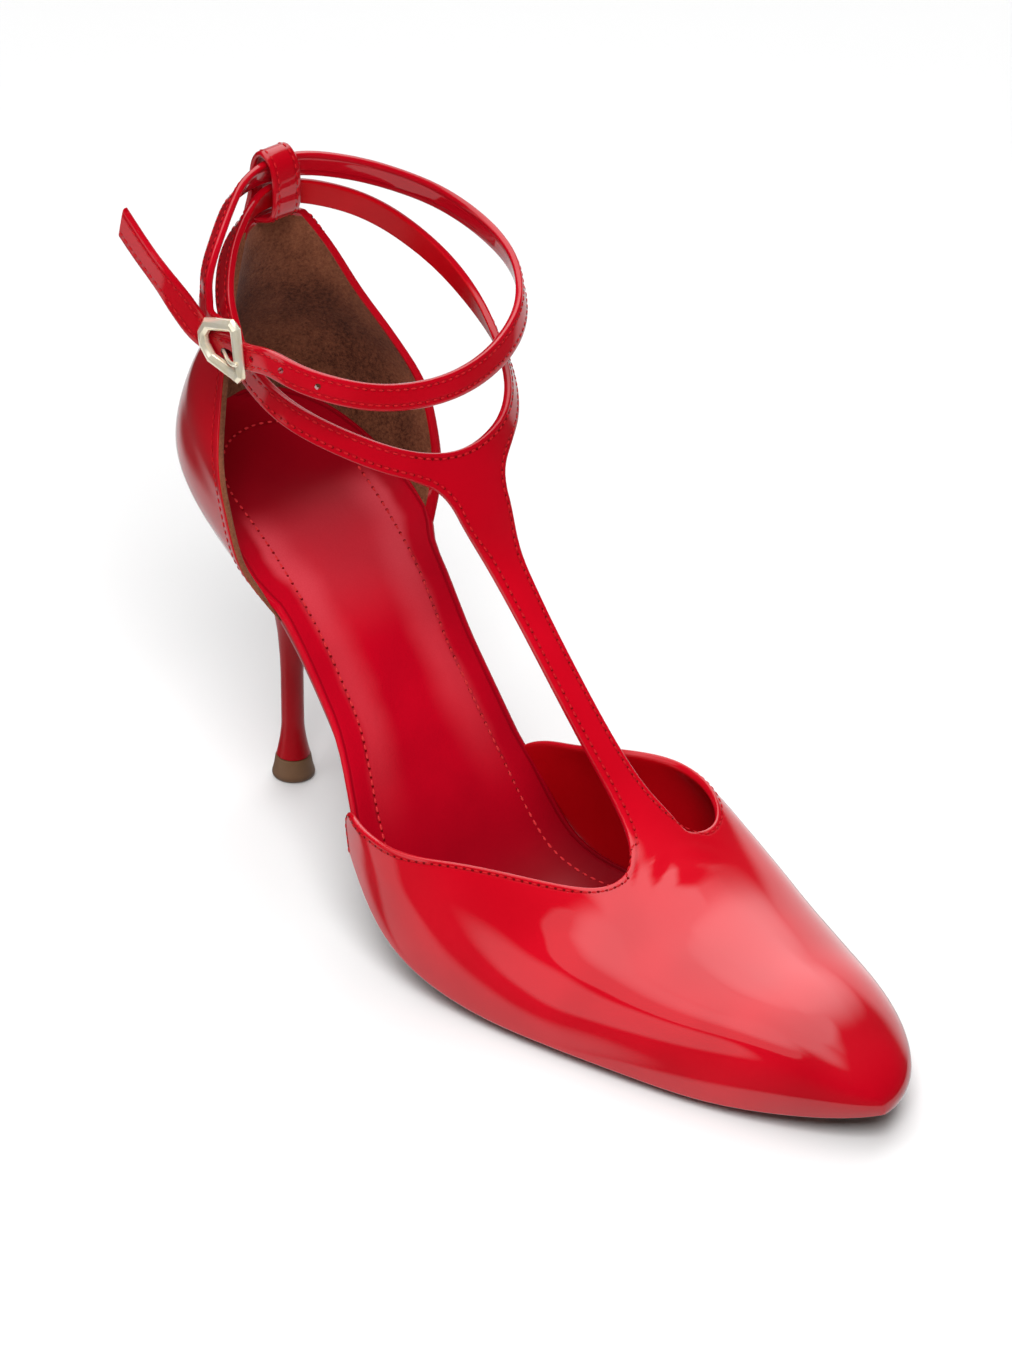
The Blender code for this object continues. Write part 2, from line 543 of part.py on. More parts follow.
def wind_alike(faces):
    """The same faces, each turned to agree with its neighbours."""
    users = {}
    for index, face in enumerate(faces):
        for a, b in zip(face, face[1:] + face[:1]):
            users.setdefault(frozenset((a, b)), []).append(index)
    faces = [list(face) for face in faces]
    done = {0}
    front = [0]
    while front:
        index = front.pop()
        face = faces[index]
        for a, b in zip(face, face[1:] + face[:1]):
            for other in users[frozenset((a, b))]:
                if other in done:
                    continue
                pairs = list(zip(faces[other], faces[other][1:] + faces[other][:1]))
                if (a, b) in pairs:
                    faces[other].reverse()
                done.add(other)
                front.append(other)
    return faces


def make_counter():
    """Hollow heel cup, open in front and on top."""
    turns = np.linspace(-1, 1, 33)
    rises = monotone([0, 3, 6, 12], [COUNTER[0].rise, 16.0, 36.0, COUNTER[-1].rise], np.arange(13))
    turn, rise = np.meshgrid(turns, rises)
    outside = counter_point(turn, rise, FIT_GAP + COUNTER_WALL).reshape(-1, 3)
    inside = counter_point(turn, rise, FIT_GAP).reshape(-1, 3)
    wide = len(turns)
    faces = []
    for i in range(len(rises) - 1):
        for j in range(wide - 1):
            a = i * wide + j
            faces.append([a, a + 1, a + wide + 1, a + wide])
    paint(sheet_solid("counter", outside, inside, faces), (0.5, 0.003, 0.008), 0.12)


def heel_ring(row, count):
    """One ring of the heel: half rounds behind and before its widest place, on a falling plane."""
    angle = np.linspace(0, 2 * np.pi, count, endpoint=False)
    power = 2 / row.square
    c = np.sign(np.cos(angle)) * np.abs(np.cos(angle)) ** power
    s = np.sign(np.sin(angle)) * np.abs(np.sin(angle)) ** power
    u = row.mid_u + np.where(c > 0, (row.front_u - row.mid_u) * c, (row.mid_u - row.back_u) * c)
    centre = (row.front_u + row.back_u) / 2
    return np.stack([u, row.half_width * s, row.level - row.fall * (u - centre)], axis=1)


def make_heel():
    """Covered heel and its top piece."""
    rings = [heel_ring(row, 28) for row in HEEL]
    under = bed_height(np.clip(rings[0][:, 0], 0, None)) - INSOLE_THICK - FIT_GAP
    rings[0][:, 2] = under
    second = bed_height(np.clip(rings[1][:, 0], 0, None)) - INSOLE_THICK - FIT_GAP
    rings[1][:, 2] = np.minimum(rings[1][:, 2], second - 2.0)
    paint(rings_solid("heel", rings), (0.28, 0.006, 0.01), 0.2)
    turn = np.linspace(0, 2 * np.pi, 28, endpoint=False)
    discs = []
    for row in TOP_PIECE:
        disc = [HEEL_U + row.radius * np.cos(turn), row.radius * np.sin(turn), np.full(len(turn), row.level)]
        discs.append(np.stack(disc, axis=1))
    paint(rings_solid("heel_top_piece", discs), (0.2, 0.11, 0.05), 0.5)


def make_loop():
    """Strap loop on top of the counter."""
    rises = np.array([51.0, 55.0, 59.0])
    inner = counter_point(np.zeros(3), rises, FIT_GAP) + [FIT_GAP + LOOP_THICK / 2 + 0.7, 0.0, 0.0]
    outer = counter_point(np.zeros(3), rises, FIT_GAP + COUNTER_WALL) - [FIT_GAP + LOOP_THICK / 2 + 0.2, 0.0, 0.0]
    arch = [(row.u, 0.0, row.height) for row in HEEL_LOOP]
    path = curve_through(np.concatenate([inner, arch, outer[::-1]]), 34)
    tangent = unit(np.gradient(path, axis=0))
    width = np.repeat([[0.0, 1.0, 0.0]], len(path), axis=0)
    normal = np.cross(tangent, width)
    paint(strap_solid("heel_loop", path, width, normal, LOOP_WIDTH, LOOP_THICK), (0.5, 0.003, 0.008), 0.12)


def buckle_axes():
    """Directions of the frame: back along the strap, up its bars and outwards."""
    back = unit(PIN - FRONT_BAR)
    up = np.array([-0.08, 0.0, 1.0])
    up = unit(up - back * np.dot(up, back))
    return back, up, np.cross(up, back) * np.sign(np.cross(up, back)[1])


def ankle_path():
    """Centre line of the ankle strap from its fold on the pin, round the ankle, to the free tip."""
    back, up, out = buckle_axes()
    turn = PIN_HALF * 1.4 + FIT_GAP + STRAP_THICK / 2
    fold = [PIN + back * 4.6 + out * turn, PIN + back * 2.2 + out * turn]
    for degrees in (90, 45, 0, -45, -90):
        angle = math.radians(degrees)
        fold.append(PIN - back * turn * math.cos(angle) + out * turn * math.sin(angle))
    fold.append(PIN + back * 2.4 - out * turn)
    under = FRONT_BAR - out * (BAR_THICK / 2 + 4.0 * FIT_GAP + STRAP_THICK / 2)
    over = PIN + out * (2 * turn + FIT_GAP + 0.3)
    through = [under, (under + over) / 2, over + up * 2.4]
    tip = [np.array(p) for p in FREE_TIP]
    ring = [np.array(p) for p in ANKLE]
    return fold, ring, through, tip


def make_straps():
    """Sling strap through the loop and the ankle strap with its holes."""
    _, sling = lower_loop()
    run = np.cumsum(np.linalg.norm(np.diff(sling, axis=0, prepend=sling[:1]), axis=1))
    keep = (run > 1.0) & (run < run[-1] - 1.0)
    trimmed = np.concatenate([cut_at(sling, run, EDGE_GAP), sling[keep], cut_at(sling, run, run[-1] - EDGE_GAP)])
    _, width, normal = strap_frames(trimmed, np.full(len(trimmed), 8.0))
    paint(strap_solid("sling_strap", trimmed, width, normal, STRAP_WIDTH, WALL), (0.5, 0.003, 0.008), 0.12)

    fold, ring, through, tip = ankle_path()
    path = curve_through(np.concatenate([fold, ring, through, tip]), 150)
    _, width, normal = strap_frames(path, np.full(len(path), 8.0))
    back, up, out = buckle_axes()
    near = np.linalg.norm(path - PIN, axis=1)
    ease = np.clip((16.0 - near) / 10.0, 0, 1)[:, None]
    tangent = unit(np.gradient(path, axis=0))
    steer = unit(width * (1 - ease) + up * ease)
    width = unit(steer - tangent * np.sum(steer * tangent, axis=1, keepdims=True))
    normal = np.cross(tangent, width)
    strap = strap_solid("ankle_strap", path, width, normal, STRAP_WIDTH, STRAP_THICK)
    paint(strap, (0.5, 0.003, 0.008), 0.12)
    return path, width, normal, strap


def cut_at(path, run, at):
    """The one point of a path at a given run."""
    return np.array([[np.interp(at, run, path[:, i]) for i in range(3)]])


def rod(name, start, end, radius, count=14):
    """Round bar between two points in shoe axes."""
    axis = unit(end - start)
    side = unit(np.cross(axis, [0.3, 0.9, 0.2]))
    other = np.cross(axis, side)
    turn = np.linspace(0, 2 * np.pi, count, endpoint=False)
    ring = np.cos(turn)[:, None] * side + np.sin(turn)[:, None] * other
    return rings_solid(name, [start + ring * radius, end + ring * radius])


def apply_boolean(target, tool, operation):
    """Join or cut with a tool that then goes away."""
    change = target.modifiers.new("change", "BOOLEAN")
    change.operation = operation
    change.solver = "EXACT"
    change.object = tool
    bpy.context.view_layer.update()
    result = bpy.data.meshes.new_from_object(target.evaluated_get(bpy.context.evaluated_depsgraph_get()))
    target.modifiers.clear()
    target.data = result
    bpy.data.objects.remove(tool)


def punch_holes(path, width, normal, strap):
    """Holes at an even pitch; the prong uses the one inside the frame."""
    run = np.cumsum(np.linalg.norm(np.diff(path, axis=0, prepend=path[:1]), axis=1))
    fold, ring, through, tip = ankle_path()
    inside = run[int(np.argmin(np.linalg.norm(path - through[1], axis=1)))]
    for step in list(range(-HOLES_FRONT, 0)) + list(range(1, HOLES_BACK + 1)):
        at = inside + step * HOLE_PITCH
        middle = cut_at(path, run, at)[0]
        near = int(np.argmin(np.abs(run - at)))
        tool = rod("hole", middle - normal[near] * 3.0, middle + normal[near] * 3.0, HOLE_RADIUS)
        apply_boolean(strap, tool, "DIFFERENCE")
    back, up, out = buckle_axes()
    top, rest = prong_ends()
    tool = box_between("used hole", top, rest, up, 1.0, np.cross(up, unit(rest - top)), 0.8)
    apply_boolean(strap, tool, "DIFFERENCE")


def prong_ends():
    """Places where the prong leaves its eye and where its tip rests."""
    back, up, out = buckle_axes()
    eye = PIN_HALF * 1.4 + FIT_GAP + 0.4
    return PIN + out * eye, FRONT_BAR + out * (BAR_THICK / 2 + FIT_GAP + 0.4)


def box_between(name, start, end, side, half_side, out, half_out):
    """Bar of rectangular section between two points."""
    corners = [(-1, -1), (1, -1), (1, 1), (-1, 1)]
    rings = []
    for p in (start, end):
        rings.append(np.array([p + side * half_side * a + out * half_out * b for a, b in corners]))
    return rings_solid(name, rings)


def make_buckle(path):
    """Frame with its pin, and the prong that rests on the front bar."""
    back, up, out = buckle_axes()
    corners = [(FRONT_BAR, FRONT_BAR_HALF, -BAR_WIDTH / 2), (FRONT_BAR, -FRONT_BAR_HALF, -BAR_WIDTH / 2),
               (PIN, -BACK_BAR_HALF, PIN_HALF), (PIN, BACK_BAR_HALF, PIN_HALF)]
    outline = [place + up * high + back * shift for place, high, shift in corners]
    window = [place + up * (high - math.copysign(BAR_WIDTH, high)) - back * shift for place, high, shift in corners]
    deep = [BAR_THICK / 2, BAR_THICK / 2, PIN_HALF, PIN_HALF]
    layers = []
    for loop in (outline, window):
        for sign in (1, -1):
            layers.append(np.array([p + out * d * sign for p, d in zip(loop, deep)]))
    faces = []
    for a, b in ((0, 1), (1, 3), (3, 2), (2, 0)):
        faces += [[4 * a + i, 4 * a + (i + 1) % 4, 4 * b + (i + 1) % 4, 4 * b + i] for i in range(4)]
    frame = add_object("buckle_frame", np.concatenate(layers), faces)
    paint(frame, (0.8, 0.66, 0.42), 0.15, 1.0)

    eye = PIN_HALF * 1.4 + FIT_GAP + 0.4
    points = []
    for degrees in range(330, 89, -20):
        angle = math.radians(degrees)
        points.append(PIN - back * eye * math.cos(angle) + out * eye * math.sin(angle))
    top, rest = prong_ends()
    points += [top * 0.85 + rest * 0.15, top * 0.5 + rest * 0.5, rest + back * 1.4, rest - back * 0.8]
    line = curve_through(points, 44)
    tangent = unit(np.gradient(line, axis=0))
    width = np.repeat([up], len(line), axis=0)
    width = unit(width - tangent * np.sum(width * tangent, axis=1, keepdims=True))
    prong = strap_solid("buckle_prong", line, width, np.cross(tangent, width), 1.2, 0.8)
    paint(prong, (0.8, 0.66, 0.42), 0.15, 1.0)


def slot_fold(strap):
    """Slot in the fold, where the prong's eye sits on the pin."""
    back, up, out = buckle_axes()
    centre = PIN - back * 0.4
    tool = box_between("slot", centre - back * 3.6, centre + back * 2.6, up, 1.1, out, 3.2)
    apply_boolean(strap, tool, "DIFFERENCE")


def centre_on_floor():
    """Shift every piece so that the whole shoe stands centred on the origin."""
    bpy.context.view_layer.update()
    shoe = [made for made in bpy.context.scene.objects if made.type == "MESH"]
    corners = np.array([tuple(made.matrix_world @ vertex.co) for made in shoe for vertex in made.data.vertices])
    low = corners.min(axis=0)
    high = corners.max(axis=0)
    shift = np.array([(low[0] + high[0]) / 2, (low[1] + high[1]) / 2, low[2]])
    for made in shoe:
        for vertex in made.data.vertices:
            vertex.co = [vertex.co[i] - shift[i] for i in range(3)]
    print("shift", shift, "size", high - low)


def main():
    """Clear the file and build the shoe."""
    for old in list(bpy.data.objects):
        bpy.data.objects.remove(old)
    make_sole()
    make_vamp()
    make_counter()
    make_heel()
    make_loop()
    path, width, normal, strap = make_straps()
    punch_holes(path, width, normal, strap)
    slot_fold(strap)
    make_buckle(path)
    centre_on_floor()


main()
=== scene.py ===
"""Strap pump, right shoe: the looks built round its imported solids.

Sizes are millimetres in the shoe's own axes: u runs from the back of the heel seat to the toe,
v to the wearer's right (the outer side) and z up from the floor. Finished meshes are in metres
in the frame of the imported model, with the toe towards -Y and the outer side towards -X.
"""
from __future__ import annotations

import json
import logging
import math
from dataclasses import dataclass, field
from enum import Enum
from functools import partial
from typing import Any, Callable, NamedTuple, Sequence

import bmesh
import bpy
import numpy as np
from mathutils import Matrix, Vector
from mathutils.bvhtree import BVHTree
from mathutils.kdtree import KDTree

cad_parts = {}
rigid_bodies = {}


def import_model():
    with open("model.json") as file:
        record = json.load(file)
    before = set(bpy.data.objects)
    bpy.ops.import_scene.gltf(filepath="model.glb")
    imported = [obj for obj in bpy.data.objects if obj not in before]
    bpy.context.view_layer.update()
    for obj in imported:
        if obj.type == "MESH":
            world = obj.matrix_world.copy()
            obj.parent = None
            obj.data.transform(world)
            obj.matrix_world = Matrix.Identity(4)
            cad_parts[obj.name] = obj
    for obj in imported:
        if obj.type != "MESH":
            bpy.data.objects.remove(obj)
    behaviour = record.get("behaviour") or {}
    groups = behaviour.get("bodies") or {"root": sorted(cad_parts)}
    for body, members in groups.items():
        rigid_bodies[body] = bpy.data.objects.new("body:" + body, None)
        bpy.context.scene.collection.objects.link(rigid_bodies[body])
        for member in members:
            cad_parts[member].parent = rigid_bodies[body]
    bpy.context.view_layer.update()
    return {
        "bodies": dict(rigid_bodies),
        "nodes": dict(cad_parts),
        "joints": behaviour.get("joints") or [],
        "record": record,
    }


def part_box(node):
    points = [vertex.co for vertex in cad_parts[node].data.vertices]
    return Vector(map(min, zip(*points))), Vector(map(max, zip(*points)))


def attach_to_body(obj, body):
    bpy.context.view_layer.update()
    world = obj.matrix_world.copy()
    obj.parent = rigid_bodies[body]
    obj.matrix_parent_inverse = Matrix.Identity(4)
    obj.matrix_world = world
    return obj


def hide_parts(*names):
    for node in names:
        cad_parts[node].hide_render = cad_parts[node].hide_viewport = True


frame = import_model()

LOG = logging.getLogger("strap_pump")
MM = 0.001
Points = np.ndarray
Piece = bpy.types.Object
Material = bpy.types.Material


class Slot(Enum):
    """Material slots of the record."""

    PATENT = "patent"
    INSOLE = "insole"
    OUTSOLE = "outsole"
    HEEL = "heel"
    TOP_PIECE = "top_piece"
    BUCKLE = "buckle"


class Side(Enum):
    """Sides of the shoe, with the sign of v on each."""

    OUTER = 1.0
    INNER = -1.0


# Curves and tables


def monotone(xs: Sequence[float], ys: Sequence[float], at: Any) -> Points:
    """Smooth curve through a table's rows that makes no new bumps between them.

    Args:
        xs: Rising places of the rows.
        ys: Values of the rows.
        at: Places to read.

    Returns:
        The values there.
    """
    xs = np.asarray(xs, float)
    ys = np.asarray(ys, float)
    at = np.clip(np.asarray(at, float), xs[0], xs[-1])
    step = np.diff(xs)
    slope = np.diff(ys) / step
    tangent = np.concatenate([slope[:1], np.zeros(len(xs) - 2), slope[-1:]])
    for i in range(1, len(xs) - 1):
        if slope[i - 1] * slope[i] > 0:
            near = 2 * step[i] + step[i - 1]
            far = step[i] + 2 * step[i - 1]
            tangent[i] = (near + far) / (near / slope[i - 1] + far / slope[i])
    k = np.clip(np.searchsorted(xs, at) - 1, 0, len(xs) - 2)
    t = (at - xs[k]) / step[k]
    start = (1 + 2 * t) * (1 - t) ** 2 * ys[k] + t * (1 - t) ** 2 * step[k] * tangent[k]
    return start + t ** 2 * (3 - 2 * t) * ys[k + 1] + t ** 2 * (t - 1) * step[k] * tangent[k + 1]


def column(table: Sequence[NamedTuple], name: str) -> list[float]:
    """One named column of a table."""
    return [getattr(row, name) for row in table]


def along(table: Sequence[NamedTuple], name: str, at: Any) -> Points:
    """A named column as a smooth function of the table's first column."""
    return monotone([row[0] for row in table], column(table, name), at)


def table_of(kind: type, *values: tuple[Any, ...]) -> tuple[Any, ...]:
    """Rows of a table from their plain numbers."""
    return tuple(kind(*value) for value in values)


def unit(vectors: Any) -> Points:
    """Vectors of length one."""
    vectors = np.asarray(vectors, float)
    return vectors / np.linalg.norm(vectors, axis=-1, keepdims=True)


def square_to(vectors: Points, axis: Points) -> Points:
    """Vectors of length one, without their part along an axis of length one."""
    return unit(vectors - axis * np.sum(vectors * axis, axis=-1, keepdims=True))


def held(t: Any) -> Points:
    """Numbers held between 0 and 1."""
    return np.clip(t, 0, 1)


def bump(x: Any, middle: float, reach: float) -> Points:
    """Bell curve of height one."""
    return np.exp(-((x - middle) / reach) ** 2)


def smooth(t: Any) -> Points:
    """Smooth step from 0 to 1, level before and after."""
    t = held(t)
    return t * t * (3 - 2 * t)


def heading(path: Points) -> Points:
    """Direction of a path at each of its points."""
    return unit(np.gradient(path, axis=0))


def ring(count: int, first: Any, second: Any, turn: float = 0.0) -> Points:
    """Points once round the origin.

    Args:
        count: Number of points.
        first: Half axis at angle zero.
        second: Half axis at a right angle to it.
        turn: Angle of the first point.

    Returns:
        The points.
    """
    angle = np.linspace(0, 2 * np.pi, count, endpoint=False) + turn
    return np.cos(angle)[:, None] * np.asarray(first) + np.sin(angle)[:, None] * np.asarray(second)


def run_of(path: Points) -> Points:
    """Length along a path up to each of its points."""
    return np.concatenate([[0.0], np.cumsum(np.linalg.norm(np.diff(path, axis=0), axis=1))])


def at_run(values: Points, run: Points, at: Any) -> Points:
    """Values of a path, or of a field along it, at given lengths."""
    return np.stack([np.interp(at, run, values[:, i]) for i in range(values.shape[1])], axis=-1)


def curve_through(points: Any, count: int) -> Points:
    """Evenly spaced points on the natural cubic curve through the given points.

    Args:
        points: Rows of three coordinates.
        count: Number of points to return.

    Returns:
        The points, first and last included.
    """
    points = np.asarray(points, float)
    chord = run_of(points)
    h = np.diff(chord)
    n = len(points)
    matrix = np.eye(n)
    right = np.zeros_like(points)
    for i in range(1, n - 1):
        matrix[i, i - 1:i + 2] = [h[i - 1], 2 * (h[i - 1] + h[i]), h[i]]
        right[i] = 6 * ((points[i + 1] - points[i]) / h[i] - (points[i] - points[i - 1]) / h[i - 1])
    bend = np.linalg.solve(matrix, right)
    at = np.linspace(0, chord[-1], 40 * n)
    k = np.clip(np.searchsorted(chord, at) - 1, 0, n - 2)
    a = ((chord[k + 1] - at) / h[k])[:, None]
    b = 1 - a
    swell = ((a ** 3 - a) * bend[k] + (b ** 3 - b) * bend[k + 1]) * (h[k] ** 2)[:, None] / 6
    fine = a * points[k] + b * points[k + 1] + swell
    run = run_of(fine)
    return at_run(fine, run, np.linspace(0, run[-1], count))


def closed_curve(points: Sequence[Any], count: int) -> Points:
    """Evenly spaced points once round a closed smooth curve.

    Args:
        points: Rows of three coordinates, each once.
        count: Number of points to return.

    Returns:
        The points, with the first repeated at the end.
    """
    rows = [np.array(p, float) for p in points]
    lap = rows[-4:] + rows + rows[:5]
    fine = curve_through(lap, 40 * len(lap))
    half = len(fine) // 2
    first = int(np.argmin(np.linalg.norm(fine[:half] - rows[0], axis=1)))
    last = half + int(np.argmin(np.linalg.norm(fine[half:] - rows[0], axis=1)))
    return curve_through(fine[first:last + 1:4], count)


# Rows of the shape tables


class Bottom(NamedTuple):
    """Height of the insole face above the floor."""

    u: float
    height: float


class Edge(NamedTuple):
    """Half width of the insole behind a ball joint."""

    u: float
    half_width: float


class Ball(NamedTuple):
    """Ball joint and the powers of the toe curve ahead of it."""

    u: float
    half_width: float
    lengthwise: float
    crosswise: float


class Ridge(NamedTuple):
    """Ridge of the instep and how full the section is on each side of it."""

    u: float
    height: float
    outer_fullness: float
    inner_fullness: float


class Top(NamedTuple):
    """Topline: share of the section from the sole edge and the place along the shoe."""

    share: float
    u: float


class Bar(NamedTuple):
    """T-bar: centre, half width and rounding across."""

    u: float
    v: float
    height: float
    half_width: float
    round: float


class Flare(NamedTuple):
    """Flare of the T-bar: distance below the head's lower edge and half width."""

    below: float
    half_width: float


class Point(NamedTuple):
    """Place on a centre line."""

    u: float
    v: float
    height: float


class Cup(NamedTuple):
    """Counter: height above the insole, back of the cup and front rim."""

    rise: float
    back_u: float
    rim_u: float
    rim_half_width: float
    square: float
    span: float


class HeelRow(NamedTuple):
    """Heel: level, forward fall of the ring, its back, widest place and front."""

    level: float
    fall: float
    back_u: float
    mid_u: float
    front_u: float
    half_width: float
    square: float


class Disc(NamedTuple):
    """Ring of the top piece."""

    level: float
    radius: float


class Crease(NamedTuple):
    """Small crease of the vamp: middle, direction in degrees, half length, half width and depth."""

    u: float
    v: float
    turn: float
    long: float
    wide: float
    deep: float


@dataclass(frozen=True)
class Last:
    """The form that the shoe is made on: sole line, outline, instep and heel cup."""

    insole_length: float = 217.6
    insole_thick: float = 3.2
    fit_gap: float = 0.3
    edge_gap: float = 0.5
    toe_short: float = 2.6
    wall: float = 1.8
    toe_tip_v: float = -2.5
    toe_spring: float = 6.9
    spring_start: float = 160.0
    seat_round: float = 27.0
    ball_smooth: float = 9.0
    ridge_v: float = -6.6
    toe_cap_u: float = 184.0
    toe_cap_lengthwise: float = 2.3
    toe_cap_crosswise: float = 1.5
    wall_bulge: float = 2.3
    toe_bulge: float = 1.6
    toe_lap: float = 1.5
    lap_run: float = 30.0
    lean_start: float = 150.0
    tip_run: float = 16.0
    bulge_start: float = 182.0
    bulge_run: float = 36.0
    bulge_height: float = 15.0
    seat_end: float = 48.0
    vamp_start: float = 81.0
    blend_run: float = 8.0
    lining_gap: float = 0.05
    rim_drop: float = 0.6
    outer_ball: Ball = Ball(97.6, 38.7, 1.27, 1.47)
    inner_ball: Ball = Ball(142.5, 37.1, 1.62, 1.96)
    bottom: tuple[Bottom, ...] = table_of(
        Bottom, (0.0, 92.6), (16.0, 85.5), (33.0, 76.6), (50.0, 63.6), (66.0, 48.4), (83.0, 31.4),
        (99.0, 16.2), (114.0, 8.8), (127.0, 6.3), (137.0, 5.7), (160.0, 5.7))
    outer_edge: tuple[Edge, ...] = table_of(
        Edge, (25.0, 24.3), (45.0, 24.4), (66.0, 26.2), (88.0, 35.5))
    inner_edge: tuple[Edge, ...] = table_of(
        Edge, (25.0, 24.4), (45.0, 23.4), (66.0, 19.9), (99.0, 18.4), (124.0, 29.5))
    ridge: tuple[Ridge, ...] = table_of(
        Ridge, (82.0, 109.7, -0.02, 0.10), (96.5, 88.4, -0.03, 0.11), (108.5, 72.7, -0.03, 0.12),
        (123.0, 54.4, -0.04, 0.12), (134.0, 45.6, -0.05, 0.12), (143.0, 38.5, -0.05, 0.09),
        (152.0, 33.5, -0.02, 0.07), (164.0, 29.1, 0.04, 0.05), (185.0, 26.6, 0.08, 0.04),
        (207.0, 26.3, 0.08, 0.05), (220.0, 26.2, 0.05, 0.04))
    cup: tuple[Cup, ...] = table_of(
        Cup, (-3.2, -0.2, 43.3, 25.0, 2.85, 90.0), (3.0, 0.0, 41.2, 27.1, 2.6, 88.0),
        (10.0, 0.8, 39.6, 29.0, 2.4, 81.0), (21.0, 4.2, 35.7, 29.2, 2.2, 71.0),
        (32.4, 9.6, 29.9, 24.1, 2.1, 61.0), (42.5, 13.0, 24.7, 17.7, 2.0, 54.0),
        (53.3, 15.2, 20.3, 12.2, 2.0, 49.0), (60.5, 15.4, 17.4, 7.0, 2.0, 46.0))

    def bed_height(self, u: Any) -> Points:
        """Height of the insole face, with the toe spring."""
        u = np.asarray(u, float)
        lift = np.clip(u - self.spring_start, 0, None) / (self.insole_length - self.spring_start)
        return along(self.bottom, "height", u) + self.toe_spring * lift ** 2

    def _outline(self, u: Points, side: Side, grow: Any, short: float) -> Points:
        """Half width of the insole outline on one side, before the ball joint is smoothed."""
        outer = side is Side.OUTER
        table = self.outer_edge if outer else self.inner_edge
        ball = self.outer_ball if outer else self.inner_ball
        tip = side.value * self.toe_tip_v
        t = held((u - ball.u) / (self.insole_length + grow - short - ball.u))
        round_off = held(1 - t ** ball.lengthwise) ** (1 / ball.crosswise)
        fore = tip + (ball.half_width + grow - tip) * round_off
        rows_u = column(table, "u") + [ball.u]
        rows_w = column(table, "half_width") + [ball.half_width]
        s = held(1 - (u + grow) / (self.seat_round + grow))
        back = (monotone(rows_u, rows_w, u) + grow) * np.sqrt(held(1 - s ** 2.3))
        return np.where(u > ball.u, fore, back)

    def half_width(self, u: Any, side: Side, grow: Any = 0.0, short: float = 0.0) -> Points:
        """Half width of the insole outline on one side.

        Args:
            u: Places along the shoe.
            side: Outer or inner side.
            grow: Clearance or wall that widens the outline.
            short: How much the toe end is shortened.

        Returns:
            The half widths.
        """
        u = np.asarray(u, float)
        ball = self.outer_ball if side is Side.OUTER else self.inner_ball
        reach = self.ball_smooth * bump(u, ball.u, 1.8 * self.ball_smooth)
        steps = np.linspace(-1, 1, 5)
        return sum(self._outline(u + reach * step, side, grow, short) for step in steps) / len(steps)

    def inner_width(self, u: Any, side: Side) -> Points:
        """Half width of the insole where it meets the lining of the counter and of the vamp."""
        u = np.asarray(u, float)
        plain = self.half_width(u, side, -self.edge_gap, self.toe_short)
        turns = np.linspace(0, 1, 200)
        cup = self.cup_point(turns, np.zeros(len(turns)), self.fit_gap)
        seat = np.interp(u, cup[:, 0], cup[:, 1]) - self.lining_gap
        shares = np.linspace(0.0, 0.16, 60)
        places, parts = np.meshgrid(u, shares if side is Side.OUTER else 1 - shares, indexing="ij")
        wall = self.vamp_point(places, parts, self.fit_gap)
        level = self.bed_height(u) - self.rim_drop
        vamp = [np.interp(z, line[:, 2], side.value * line[:, 1]) for z, line in zip(level, wall)]
        vamp = np.array(vamp) - self.lining_gap
        heel = smooth((self.seat_end - u) / self.blend_run)
        fore = smooth((u - self.vamp_start) / self.blend_run)
        return plain + heel * (seat - plain) + fore * (vamp - plain)

    def ridge_height(self, u: Any, grow: float) -> Points:
        """Height of the vamp's ridge, rounded off at the toe."""
        foot = self.bed_height(u) - self.insole_thick
        top = along(self.ridge, "height", u) - (self.wall + self.fit_gap - grow)
        t = held((u - self.toe_cap_u) / (self.insole_length + grow - self.toe_cap_u))
        cap = held(1 - t ** self.toe_cap_lengthwise) ** (1 / self.toe_cap_crosswise)
        return foot + (top - foot) * cap

    def vamp_point(self, u: Any, share: Any, grow: float) -> Points:
        """Point of the vamp.

        Args:
            u: Places along the shoe.
            share: 0 at the outer sole edge, 0.5 on the ridge, 1 at the inner sole edge.
            grow: Distance outside the form.

        Returns:
            Points in shoe axes.
        """
        u, share = np.broadcast_arrays(np.asarray(u, float), np.asarray(share, float))
        lap = self.toe_lap * smooth((u - self.spring_start) / self.lap_run)
        foot = self.bed_height(u) - self.insole_thick - lap
        rise = self.ridge_height(u, grow) - foot
        end = self.insole_length + grow
        forward = held((u - self.lean_start) / (end - self.lean_start))
        ridge_v = self.ridge_v * (1 - forward) + self.toe_tip_v * forward
        angle = np.pi * share
        outer = share <= 0.5
        fullness = np.where(outer, along(self.ridge, "outer_fullness", u),
                            along(self.ridge, "inner_fullness", u))
        swell = 1 + fullness * np.sin(2 * angle) ** 2
        outer_span = self.half_width(u, Side.OUTER, grow) - ridge_v
        inner_span = self.half_width(u, Side.INNER, grow) + ridge_v
        span = np.where(outer, outer_span, inner_span)
        near_tip = np.sqrt(held((end - u) / self.tip_run))
        bulge = self.wall_bulge * near_tip * np.sin(np.clip(2 * np.minimum(angle, np.pi - angle), 0, np.pi))
        v = ridge_v + span * np.cos(angle) * swell + np.where(outer, bulge, -bulge)
        height = rise * np.sin(angle) * swell
        toward = held((u - self.bulge_start) / self.bulge_run) ** 2
        ahead = toward * np.sin(np.pi * held(height / self.bulge_height))
        return np.stack([u + self.toe_bulge * ahead, v, foot + height], axis=-1)

